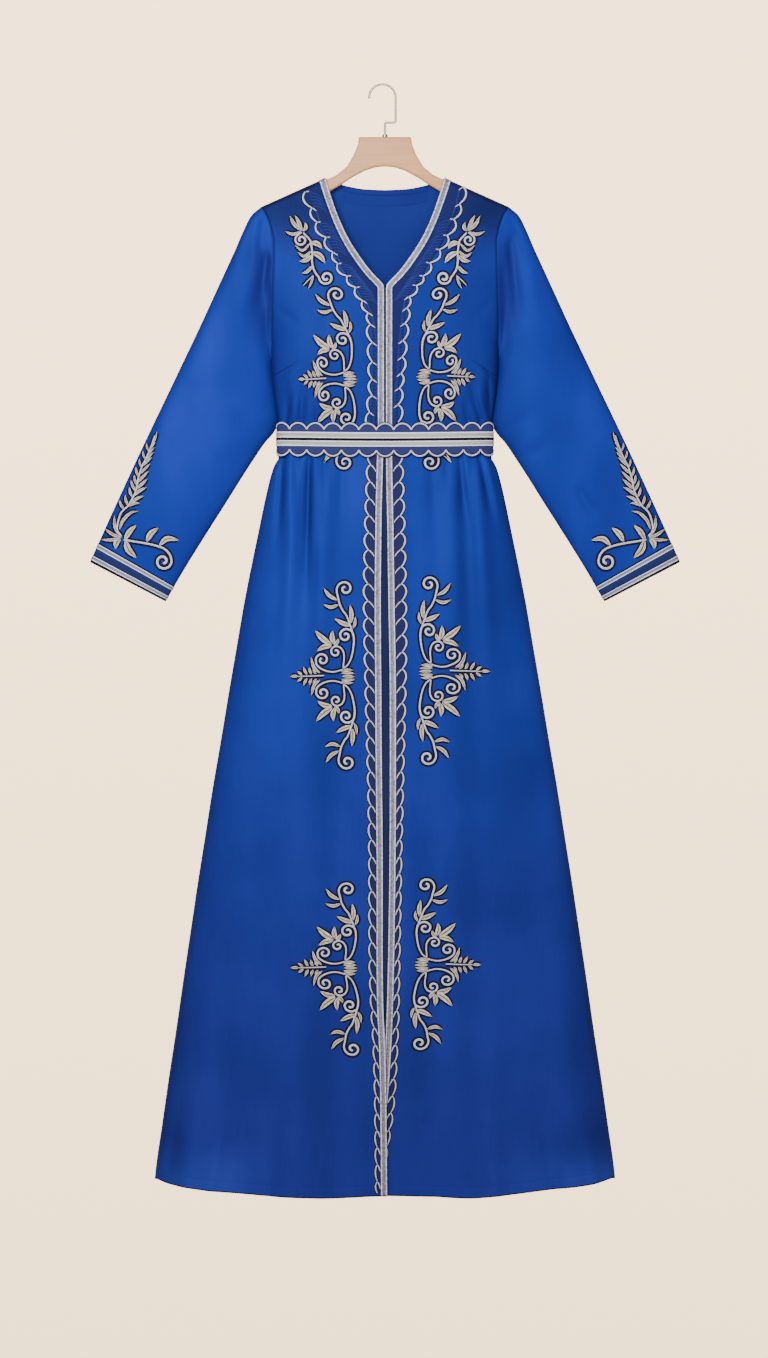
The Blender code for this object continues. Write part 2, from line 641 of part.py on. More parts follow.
def rounded_path(corners, radius, steps=6):
    """A path through corners, each rounded by an arc."""
    path = [corners[0]]
    for before, at, after in zip(corners, corners[1:], corners[2:]):
        a = (Vector(before) - Vector(at)).normalized()
        b = (Vector(after) - Vector(at)).normalized()
        half = a.angle(b) / 2
        centre = Vector(at) + (a + b).normalized() * (radius / math.sin(half))
        first, last = (Vector(at) + side * (radius / math.tan(half)) - centre for side in (a, b))
        turn = first.angle(last)
        for i in range(steps + 1):
            share = i / steps
            mixed = first * math.sin((1 - share) * turn) + last * math.sin(share * turn)
            path.append(tuple(centre + mixed / math.sin(turn)))
    return path + [corners[-1]]


def hanger(group, parent, wood, steel):
    half = []
    for points in (BOARD_TOP, BOARD_FOOT):
        half.append(points[0])
        for a, b in zip(points, points[1:]):
            if math.hypot(b[0] - a[0], b[1] - a[1]) > 14:
                half.append(((a[0] + b[0]) / 2, (a[1] + b[1]) / 2))
            half.append(b)
    ring = half + [(-x, z) for x, z in reversed(half) if x > 0.01]
    data = bpy.data.curves.new("hanger_wood", "CURVE")
    data.dimensions = "2D"
    data.fill_mode = "BOTH"
    data.extrude = (BOARD / 2 - BOARD_ROUND) * MM
    data.bevel_depth = BOARD_ROUND * MM
    data.bevel_resolution = 1
    spline = data.splines.new("POLY")
    spline.points.add(len(ring) - 1)
    for i, target in enumerate(spline.points):
        before, at, after = (np.array(ring[(i + k) % len(ring)]) for k in (-1, 0, 1))
        tangent = (after - before) / np.hypot(*(after - before))
        x, z = at + np.array([tangent[1], -tangent[0]]) * BOARD_ROUND
        target.co = (x * MM, z * MM, 0, 1)
    spline.use_cyclic_u = True
    board = add("hanger_wood", data, group, parent, wood)
    board.rotation_euler = (math.pi / 2, 0, 0)

    top = BOARD_TOP[0][1]
    hook_x = -GARMENT_X
    centre_z = WIRE / 2 - HOOK_RADIUS
    leg_x = hook_x + HOOK_RADIUS
    shank = rounded_path([(0, 0, top + 0.4), (0, 0, SHANK_JOG_Z), (leg_x, 0, SHANK_JOG_Z), (leg_x, 0, centre_z)], 2.6)
    arc = [
        (hook_x + HOOK_RADIUS * math.cos(a), 0, centre_z + HOOK_RADIUS * math.sin(a))
        for a in np.linspace(0, math.pi * 1.02, 27)[1:]
    ]
    curve_object("hanger_hook", shank + arc, WIRE / 2, group, parent, steel, 3)

    profile = bmesh.new()
    inner = WIRE / 2 + 0.35
    places = [(inner, 4.2), (3.4, 4.2), (4.0, 3.6), (4.0, 0.3), (inner, 0.3)]
    verts = [profile.verts.new(Vector((r, 0, h + top)) * MM) for r, h in places]
    for a, b in zip(verts, verts[1:] + verts[:1]):
        profile.edges.new((a, b))
    data = bpy.data.meshes.new("hook_ferrule")
    profile.to_mesh(data)
    profile.free()
    ferrule = add("hook_ferrule", data, group, parent, steel)
    turned = ferrule.modifiers.new("turned", "SCREW")
    turned.steps = turned.render_steps = 24
    turned.use_merge_vertices = True
    turned.merge_threshold = 0.00001


# ---------------------------------------------------------------- the pieces
BODICE_ROWS = (0.0, 0.06, 0.13, 0.22, 0.33, 0.4075, 0.45, 0.52, 0.585, 0.70, 0.81, 0.90, 0.955, 0.980, 0.993, 1.0)
SIDE_FINE = (0.0, 0.004, 0.030, 0.09)
SKIRT_ROWS = (0.0, 0.07, 0.16, 0.26, 0.37, 0.48, 0.58, 0.67, 0.75, 0.82, 0.875, 0.915, 0.944, 0.963, 0.98, 1.0)
SLEEVE_ROWS = (0.0, 0.03, 0.07, 0.12, 0.18, 0.25, 0.33, 0.42, 0.54, 0.68, 0.84, 1.0)


def columns_from_side(count, fine=SIDE_FINE):
    return list(fine) + list(np.linspace(fine[-1], 1.0, count + 1)[1:])


def build():
    clear_scene()
    group = collection("kaftan_on_hanger")
    satin = material("blue_satin", (0.012, 0.085, 0.42), 0.42)
    dark = material("blue_satin_inside", (0.010, 0.062, 0.32), 0.5)
    trim = material("silver_braid", (0.60, 0.57, 0.52), 0.45, 0.3)
    wood = material("pale_wood", (0.70, 0.48, 0.33), 0.5)
    steel = material("steel_wire", (0.62, 0.61, 0.59), 0.25, 1.0)
    root = bpy.data.objects.new("kaftan_frame", None)
    group.objects.link(root)
    root.location = (GARMENT_X * MM, 0, 0)

    def cloth(name, points, closed=False, finish=satin, thickness=CLOTH):
        return wall(name, points, group, root, finish, thickness, closed)

    def braid(name, sheet, columns, rows, closed=False, lift=BRAID_LIFT):
        i, j = np.meshgrid(np.asarray(columns, float), np.asarray(rows, float))
        points, normals = sheet.at(i, j)
        return cloth(name, points + normals * lift, closed, trim, BRAID)

    # bodice
    across = columns_from_side(8) + [2.0]
    last = len(across) - 1

    def bodice(side):
        def shape(u, v):
            plan = bodice_front_plan(u, v)
            return front_point(side * -plan[..., 0], plan[..., 1])

        return shape

    for name, side in (("left", -1), ("right", 1)):
        sheet = Sheet(bodice(side), across, BODICE_ROWS).outward(np.array([0, 400.0, -350.0]))
        cloth("bodice_front_" + name, sheet.points)
        braid("braid_neck_" + name, sheet, (last - 1 + 0.02, last - 0.02), grid_lines(BODICE_ROWS, 0.008, 0.9985))

    def bodice_back(u, v):
        plan = bodice_back_plan(np.where(u < 0.5, u * 2, 2 - u * 2), v)
        return back_point(np.where(u < 0.5, plan[..., 0], -plan[..., 0]), plan[..., 1])

    half = np.array(columns_from_side(6)) / 2
    turn, past, inner = ((1 - x / X_TIP) / 2 for x in (X_NECK, X_NECK - 6, X_NECK - 15))
    half[np.argmin(np.abs(half - turn))] = turn
    half = np.sort([*half, past, inner])
    sheet = Sheet(bodice_back, [*half, *(1 - half[::-1][1:])], BODICE_ROWS)
    cloth("bodice_back", sheet.points)
    top_row = len(BODICE_ROWS) - 1
    edges = np.interp([-FACING_HALF, FACING_HALF], sheet.points[-1, :, 0], range(len(sheet.across)))
    inside = [k for k in range(len(sheet.across)) if edges[0] < k < edges[1]]
    i, j = np.meshgrid([edges[0], *inside, edges[1]], [top_row - 1.9, top_row - 1.0, top_row - 0.2])
    sheet.outward(np.array([0, 400.0, -350.0]))
    points, normals = sheet.at(i, j.astype(float))
    cloth("back_neck_facing", points - np.array([0, CLOTH / 2 + 0.5 + 0.5, 0]), finish=dark, thickness=1.0)

    # skirt
    def skirt(side, centre):
        def shape(u, v):
            plan = skirt_plan(u, v, side, centre, hem_z)
            return front_point(plan[..., 0], plan[..., 1], right=side > 0)

        return shape

    across = columns_from_side(10) + [2.0]
    last = len(across) - 1
    for name, side, centre in (("left", -1, centre_left), ("right", 1, centre_right)):
        sheet = Sheet(skirt(side, centre), across, SKIRT_ROWS).outward(np.array([0, 400.0, -900.0]))
        cloth("skirt_front_" + name, sheet.points)
        braid("braid_skirt_" + name, sheet, (last - 1 + 0.02, last - 0.02), grid_lines(SKIRT_ROWS, 0.003, 0.998))

    def skirt_back(u, v):
        plan = skirt_back_plan(u, v)
        return back_point(plan[..., 0], plan[..., 1])

    half = np.array(columns_from_side(9)) / 2
    cloth("skirt_back", Sheet(skirt_back, [*half, *(1 - half[::-1][1:])], SKIRT_ROWS).points)

    # sleeves: their lines start at the bodice's rows, so that the armhole's edges match
    levels = [side_z(v, Z_WAIST + SEAM_GAP, Z_TIP) for v in BODICE_ROWS if side_z(v, Z_WAIST + SEAM_GAP, Z_TIP) > Z_UNDERARM + 1]
    turns = sorted(math.acos(max(-1, min(1, (z - ARMHOLE_MIDDLE) / ARMHOLE_HALF))) / 2 / math.pi for z in levels) + [0.5]
    turns += [1 - t for t in turns[::-1][1:]]
    sheet = Sheet(lambda u, v: sleeve_point(v, u), turns, SLEEVE_ROWS, closed=True)
    middle = (sleeve_point(np.array(SLEEVE_ROWS), 0.0) + sleeve_point(np.array(SLEEVE_ROWS), 0.5)) / 2
    sheet.outward(middle[:, None, :])
    length = np.linalg.norm(middle[-1] - middle[-2]) / (SLEEVE_ROWS[-1] - SLEEVE_ROWS[-2])
    for name, flip in (("left", lambda p: p), ("right", mirrored)):
        cloth("sleeve_" + name, flip(sheet.points), closed=True)
        for which, low, high in CUFF_BRAIDS:
            rows = np.interp([1 - high / length, 1 - low / length], SLEEVE_ROWS, range(len(SLEEVE_ROWS)))
            i, j = np.meshgrid(np.arange(len(turns), dtype=float), rows)
            points, normals = sheet.at(i, j)
            cloth(f"braid_cuff_{name}_{which}", flip(points + normals * (BRAID_LIFT + 0.1)), True, trim, BRAID)

    # underlap behind the two centre edges, from the foot of the V neck to the hem
    def placket(u, v):
        z = (Z_HEM + 8.0) * (1 - v) + (Z_V - 8.0) * v
        low = np.where(z < Z_WAIST, np.minimum(centre_left(z), centre_right(z)), -1.1) - PLACKET_LAP
        high = np.where(z < Z_WAIST, np.maximum(centre_left(z), centre_right(z)), 1.1) + PLACKET_LAP
        x = low + (high - low) * u
        point = front_point(x, z)
        point[..., 1] += PLACKET_BEHIND + LAP_DEPTH * smoothstep(-z, *LAP_REACH)
        return point

    levels = np.array([*(side_z(v, Z_HEM, Z_WAIST) for v in SKIRT_ROWS), *(side_z(v, Z_WAIST, Z_NECK) for v in BODICE_ROWS[1:8])])
    rows = [0, *np.interp(levels[1:], [Z_HEM + 8.0, Z_V - 8.0], [0, 1]), 1]
    cloth("front_placket", Sheet(placket, (0, 0.5, 1), rows).points, finish=dark)

    # belt and its braids
    sheet = belt_sheet()
    cloth("belt", sheet.points, closed=True)
    for name, top, foot in BELT_BRAIDS:
        points = np.stack([sheet.points[0] + sheet.normals[0] * BRAID_LIFT] * 2)
        for row, level in enumerate((foot, top)):
            points[row, :, 2] = level + sheet.sag
        cloth("braid_belt_" + name, points, True, trim, BRAID)

    hanger(group, root, wood, steel)


build()
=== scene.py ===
import math

import bpy
import numpy as np
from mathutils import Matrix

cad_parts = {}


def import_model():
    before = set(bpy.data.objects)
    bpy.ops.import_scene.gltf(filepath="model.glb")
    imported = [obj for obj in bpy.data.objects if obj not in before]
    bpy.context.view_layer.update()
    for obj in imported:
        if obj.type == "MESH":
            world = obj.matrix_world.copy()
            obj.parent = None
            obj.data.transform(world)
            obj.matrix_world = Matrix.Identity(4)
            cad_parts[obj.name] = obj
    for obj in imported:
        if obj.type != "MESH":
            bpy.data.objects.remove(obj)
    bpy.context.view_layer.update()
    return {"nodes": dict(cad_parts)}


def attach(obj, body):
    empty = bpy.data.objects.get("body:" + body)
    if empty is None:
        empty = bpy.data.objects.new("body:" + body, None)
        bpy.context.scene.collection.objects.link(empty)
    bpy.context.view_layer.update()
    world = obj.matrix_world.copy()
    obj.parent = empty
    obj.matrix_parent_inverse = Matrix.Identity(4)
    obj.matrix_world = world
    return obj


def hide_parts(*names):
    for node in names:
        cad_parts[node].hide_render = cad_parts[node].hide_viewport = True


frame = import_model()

# ---------------------------------------------------------------- main sizes
MM = 0.001
CLOTH = 1.2            # thickness of the satin wall
BRAID = 1.0            # thickness of the woven braid
SEAM_GAP = 0.05        # half of the gap that parts two sewn edges
GARMENT_X = 3.8        # the garment's centre lies this far right of the hook's top

Z_NECK = -134.6        # shoulder seam at the neck
X_NECK = 86.0
Z_TIP = -176.6         # shoulder seam at the armhole
X_TIP = 179.4
Z_V = -292.0           # bottom of the V neck
Z_UNDERARM = -376.7
Z_WAIST = -514.5
Z_HEM = -1608.0
SHOULDER_SLOPE = (Z_NECK - Z_TIP) / (X_TIP - X_NECK)

RIDGE_DEPTH = 9.2      # how far the cloth stands off the hanger's middle
RIDGE_DROP = 9.0       # over which it rounds the hanger's top edge
SECTION_POWER = 2.6    # shape of the body's cross-section: 2 is an ellipse
ARMHOLE_MID_Z = -250.0
ARMHOLE_DEPTH = {"front": 15.0, "back": 13.0}

# z, half width of the body at the side seam or the armhole seam
SIDE = (
    (-176.6, 179.4), (-191.0, 170.6), (-210.0, 164.6), (-229.0, 161.2), (-262.0, 161.6),
    (-314.0, 163.4), (-359.0, 164.1), (-376.7, 164.0), (-427.0, 162.0), (-452.0, 159.2),
    (-478.0, 155.2), (-489.0, 153.8), (-514.5, 153.4), (-540.0, 154.0), (-552.0, 160.6), (-576.0, 167.8),
    (-610.0, 175.5), (-645.0, 182.7), (-680.0, 190.0), (-749.0, 203.7), (-810.0, 214.2),
    (-880.0, 226.2), (-950.0, 237.8), (-1019.0, 249.6), (-1089.0, 260.6), (-1158.0, 271.5),
    (-1228.0, 281.9), (-1297.0, 292.2), (-1367.0, 302.2), (-1437.0, 312.9), (-1506.0, 322.8),
    (-1576.0, 332.6), (-1608.0, 335.0),
)
# z, how far the middle of the front and of the back stand off the side seams
DEPTH = {
    "front": ((-134.6, 9.0), (-200.0, 14.0), (-262.0, 22.0), (-330.0, 31.0), (-376.0, 33.0),
              (-430.0, 28.0), (-476.0, 21.0), (-489.0, 18.8), (-514.5, 18.5), (-540.0, 18.8), (-552.0, 20.6),
              (-620.0, 26.5), (-760.0, 32.0), (-1000.0, 36.5), (-1300.0, 40.0), (-1608.0, 44.0)),
    "back": ((-134.6, 9.0), (-200.0, 12.0), (-262.0, 16.0), (-330.0, 18.5), (-376.0, 19.0),
             (-430.0, 18.0), (-476.0, 15.6), (-489.0, 14.7), (-514.5, 14.5), (-540.0, 14.7), (-552.0, 15.8),
             (-620.0, 20.0), (-760.0, 24.0), (-1000.0, 28.0), (-1300.0, 31.0), (-1608.0, 35.0)),
}
# z, x of the neckline and centre edge of the left front (mirrored for the right bodice)
NECKLINE = (
    (-134.6, 86.0), (-154.0, 80.3), (-187.5, 69.0), (-222.6, 53.2), (-257.8, 30.8), (-274.8, 17.3),
    (-286.0, 6.6), (-292.0, 2.2), (-298.0, 1.2), (-514.5, 1.1),
)
# x, z of the back neckline
BACK_NECK = ((0.0, -150.6), (30.0, -149.2), (55.0, -144.8), (72.0, -139.9), (86.0, -134.6))
# z, x of the left front skirt's edge, x of the right one's
CENTRE_EDGES = (
    (-514.5, -1.6, 0.8), (-545.0, -2.6, 1.2), (-640.0, -4.8, 3.0), (-746.0, -5.7, 4.6),
    (-892.0, -4.9, 6.7), (-1022.0, -3.9, 6.7), (-1138.0, -2.9, 5.9), (-1240.0, -3.0, 4.5),
    (-1326.0, -2.4, 2.6), (-1384.0, 0.2, 0.2), (-1442.0, 1.8, -3.4), (-1496.0, 2.5, -8.3),
    (-1544.0, 3.0, -14.0), (-1608.0, 3.4, -21.3),
)
# x, z of the hem, front; the back hem hangs a little lower towards its corners
HEM = ((-335.0, -1583.0), (-312.0, -1590.5), (-255.0, -1599.0), (-197.0, -1603.6), (-139.0, -1607.2),
       (-81.0, -1608.4), (0.0, -1605.4), (64.0, -1606.0), (122.0, -1608.2), (180.0, -1604.2),
       (238.0, -1597.4), (296.0, -1591.2), (335.0, -1582.0))
HEM_BACK_DROP = 2.2
FACING_HALF = 64.0     # half width of the facing inside the back neck
# folds that fall from the gathered waist, and rise above it: x at the waist, x at the far end, z of the far
# end, half width at each, height at its highest, and how far from the belt that is
FOLDS = {
    "skirt_front": (
        ("waist_x", "far_x", "far_z", "waist_half", "far_half", "height", "peak"),
        (-131.0, -148.0, -960.0, 9.0, 17.0, 4.6, 55.0),
        (-110.0, -120.0, -860.0, 8.0, 15.0, -3.0, 55.0),
        (-88.0, -96.0, -1040.0, 9.0, 20.0, 3.4, 80.0),
        (-60.0, -66.0, -820.0, 9.0, 17.0, -1.8, 70.0),
        (70.0, 76.0, -820.0, 9.0, 17.0, -1.6, 70.0),
        (95.0, 104.0, -900.0, 9.0, 19.0, 2.8, 75.0),
        (115.0, 128.0, -1040.0, 8.0, 20.0, -3.0, 60.0),
        (134.0, 154.0, -940.0, 9.0, 17.0, 4.8, 50.0),
    ),
    "skirt_back": (
        ("waist_x", "far_x", "far_z", "waist_half", "far_half", "height", "peak"),
        (-124.0, -150.0, -980.0, 10.0, 20.0, 4.2, 60.0),
        (-96.0, -116.0, -880.0, 9.0, 18.0, -3.0, 60.0),
        (-68.0, -84.0, -1100.0, 11.0, 24.0, 4.0, 90.0),
        (-14.0, -14.0, -1020.0, 11.0, 24.0, 3.8, 90.0),
        (14.0, 18.0, -880.0, 9.0, 18.0, -2.6, 60.0),
        (44.0, 58.0, -1100.0, 11.0, 24.0, 4.0, 90.0),
        (98.0, 124.0, -960.0, 10.0, 20.0, 4.2, 60.0),
        (126.0, 158.0, -880.0, 9.0, 18.0, -2.6, 55.0),
    ),
    "bodice_front": (
        ("waist_x", "far_x", "far_z", "waist_half", "far_half", "height", "peak"),
        (-132.0, -136.0, -390.0, 9.0, 13.0, 2.6, 28.0),
        (-98.0, -100.0, -390.0, 9.0, 13.0, 2.2, 30.0),
        (84.0, 88.0, -400.0, 9.0, 13.0, 1.8, 26.0),
        (110.0, 118.0, -390.0, 9.0, 13.0, 2.4, 30.0),
        (134.0, 150.0, -370.0, 8.0, 13.0, 3.4, 34.0),
    ),
    "bodice_back": (
        ("waist_x", "far_x", "far_z", "waist_half", "far_half", "height", "peak"),
        (-124.0, -130.0, -390.0, 10.0, 14.0, 2.6, 28.0),
        (-70.0, -74.0, -380.0, 10.0, 14.0, 2.6, 30.0),
        (-14.0, -14.0, -390.0, 10.0, 14.0, 2.2, 28.0),
        (44.0, 46.0, -380.0, 10.0, 14.0, 2.4, 28.0),
        (98.0, 104.0, -380.0, 10.0, 14.0, 2.8, 30.0),
    ),
}
# soft waves that open towards the hem: x at the hem, x where they start, z where they start, half width, height
HEM_WAVES = {
    "front": (
        ("hem_x", "start_x", "start_z", "half", "height"),
        (-292.0, -196.0, -940.0, 40.0, 7.0),
        (-212.0, -150.0, -1080.0, 38.0, -4.0),
        (-128.0, -96.0, -1000.0, 44.0, 5.0),
        (120.0, 92.0, -1060.0, 42.0, 4.5),
        (206.0, 150.0, -1100.0, 38.0, -4.0),
        (290.0, 200.0, -980.0, 40.0, 7.5),
    ),
    "back": (
        ("hem_x", "start_x", "start_z", "half", "height"),
        (-280.0, -190.0, -960.0, 42.0, 7.0),
        (-176.0, -120.0, -1040.0, 40.0, -5.0),
        (-74.0, -50.0, -960.0, 46.0, 6.5),
        (34.0, 22.0, -1080.0, 40.0, -5.0),
        (140.0, 96.0, -980.0, 44.0, 6.5),
        (236.0, 160.0, -1080.0, 38.0, -4.0),
        (302.0, 212.0, -1000.0, 30.0, 5.0),
    ),
}
# the left sleeve, from the armhole to the cuff: how far along, x and z of its outer edge, x, z and y of its
# inner edge, how far its front and back stand off the middle
SLEEVE = (
    ("along", "outer_x", "outer_z", "inner_x", "inner_z", "inner_y", "half_depth"),
    (0.000, -179.4, -176.6, -164.0, -376.7, 0.0, 14.0),
    (0.040, -193.5, -189.0, -166.0, -392.0, 4.5, 15.0),
    (0.085, -203.5, -208.0, -165.6, -410.0, 9.5, 15.5),
    (0.150, -217.5, -240.0, -163.6, -436.0, 12.5, 16.0),
    (0.220, -234.5, -277.0, -161.4, -462.0, 13.0, 16.5),
    (0.290, -251.5, -314.0, -160.4, -482.0, 12.5, 16.5),
    (0.355, -268.0, -350.0, -164.4, -500.0, 11.0, 16.5),
    (0.430, -287.5, -391.0, -179.5, -524.0, 8.5, 16.0),
    (0.530, -314.0, -446.5, -203.8, -561.5, 5.5, 15.0),
    (0.640, -343.0, -507.0, -229.6, -603.0, 3.0, 14.0),
    (0.760, -370.5, -566.0, -258.8, -649.0, 1.5, 12.5),
    (0.880, -398.5, -627.0, -288.6, -697.0, 0.5, 11.0),
    (1.000, -427.3, -691.4, -318.6, -748.0, 0.0, 10.0),
)
# the belt
BELT_TOP = -488.0
BELT_FOOT = -538.6
BELT_SCALLOPS = 13     # on the front, and as many on the back
BELT_SCALLOP_HEIGHT = 6.5
BELT_CLEAR = 3.4       # belt's middle to the waist's middle
BELT_SAG = 2.0
BELT_BRAIDS = (("upper", -502.2, -511.4), ("lower", -514.4, -523.2))
# braids
BRAID_WIDTH = 9.4
BRAID_LIFT = CLOTH / 2 + 0.3 + BRAID / 2
CUFF_BRAIDS = (("upper", 17.5, 24.5), ("lower", 0.8, 6.8))
# the underlap behind the two centre edges
PLACKET_LAP = 14.0
PLACKET_BEHIND = 3.0
LAP_DEPTH = 5.6        # the right front's edge lies this far behind the left one
LAP_REACH = (1270.0, 1420.0)
SLEEVE_SEAM = 0.15     # gap between the armhole's edge and the sleeve's


# ---------------------------------------------------------------- the garment's form
def smooth_table(rows, column=1):
    """A smooth curve through a table's first column and another, with no overshoot."""
    ordered = sorted(rows, key=lambda row: row[0])
    place = np.array([row[0] for row in ordered], float)
    value = np.array([row[column] for row in ordered], float)
    step = np.diff(place)
    slope = np.diff(value) / step
    tangent = np.empty_like(value)
    tangent[0], tangent[-1] = slope[0], slope[-1]
    for i in range(1, len(value) - 1):
        a, b = slope[i - 1], slope[i]
        tangent[i] = 0.0 if a * b <= 0 else 2 * a * b / (a + b)

    def read(at):
        at = np.clip(np.asarray(at, float), place[0], place[-1])
        i = np.clip(np.searchsorted(place, at) - 1, 0, len(step) - 1)
        t = (at - place[i]) / step[i]
        return (
            value[i] * (1 + 2 * t) * (1 - t) ** 2
            + tangent[i] * step[i] * t * (1 - t) ** 2
            + value[i + 1] * t * t * (3 - 2 * t)
            + tangent[i + 1] * step[i] * t * t * (t - 1)
        )

    return read


def smoothstep(value, start, end):
    t = np.clip((np.asarray(value, float) - start) / (end - start), 0, 1)
    return t * t * (3 - 2 * t)


half_width = smooth_table(SIDE)
depth_of = {face: smooth_table(rows) for face, rows in DEPTH.items()}
neckline_x = smooth_table(NECKLINE)
back_neck_z = smooth_table(BACK_NECK)
centre_left = smooth_table(CENTRE_EDGES, 1)
centre_right = smooth_table(CENTRE_EDGES, 2)
hem_z = smooth_table(HEM)


def ridge_z(x):
    """Height of the shoulder ridge at x, carried on over the neck."""
    return Z_NECK - (np.abs(x) - X_NECK) * SHOULDER_SLOPE


def armhole_depth(z, face):
    """How far the armhole's edge stands off the middle: nothing at the underarm."""
    z = np.asarray(z, float)
    below = np.clip((ARMHOLE_MID_Z - z) / (ARMHOLE_MID_Z - Z_UNDERARM), 0, 1)
    above = np.clip((z - ARMHOLE_MID_Z) / (Z_TIP - ARMHOLE_MID_Z), 0, 1)
    return ARMHOLE_DEPTH[face] * np.sqrt(1 - below**2) * (1 - 0.25 * above**2)


def fold_relief(x, z, folds):
    """Height of the waist folds at a point."""
    total = np.zeros(np.broadcast(x, z).shape)
    for waist_x, far_x, far_z, waist_half, far_half, height, peak in folds[1:]:
        down = far_z < Z_WAIST
        edge = BELT_FOOT + 3 if down else BELT_TOP - 3
        away = (edge - z) if down else (z - edge)
        reach = abs(far_z - edge)
        along = np.clip(away / reach, 0, 1)
        centre = waist_x + (far_x - waist_x) * along
        half = waist_half + (far_half - waist_half) * along
        rise = np.clip(away / peak, 0, 1)
        envelope = np.sin(rise * math.pi / 2) ** 1.2 * (1 - smoothstep(along, 0.35, 1.0))
        total = total + height * envelope * np.exp(-(((x - centre) / half) ** 2))
    return total


def wave_relief(x, z, face):
    """Height of the waves that open towards the hem."""
    total = np.zeros(np.broadcast(x, z).shape)
    for hem_x, start_x, start_z, half, height in HEM_WAVES[face][1:]:
        along = np.clip((start_z - z) / (start_z - Z_HEM), 0, 1)
        centre = start_x + (hem_x - start_x) * along
        total = total + height * along**1.6 * np.exp(-(((x - centre) / (half * (0.6 + 0.4 * along))) ** 2))
    return total


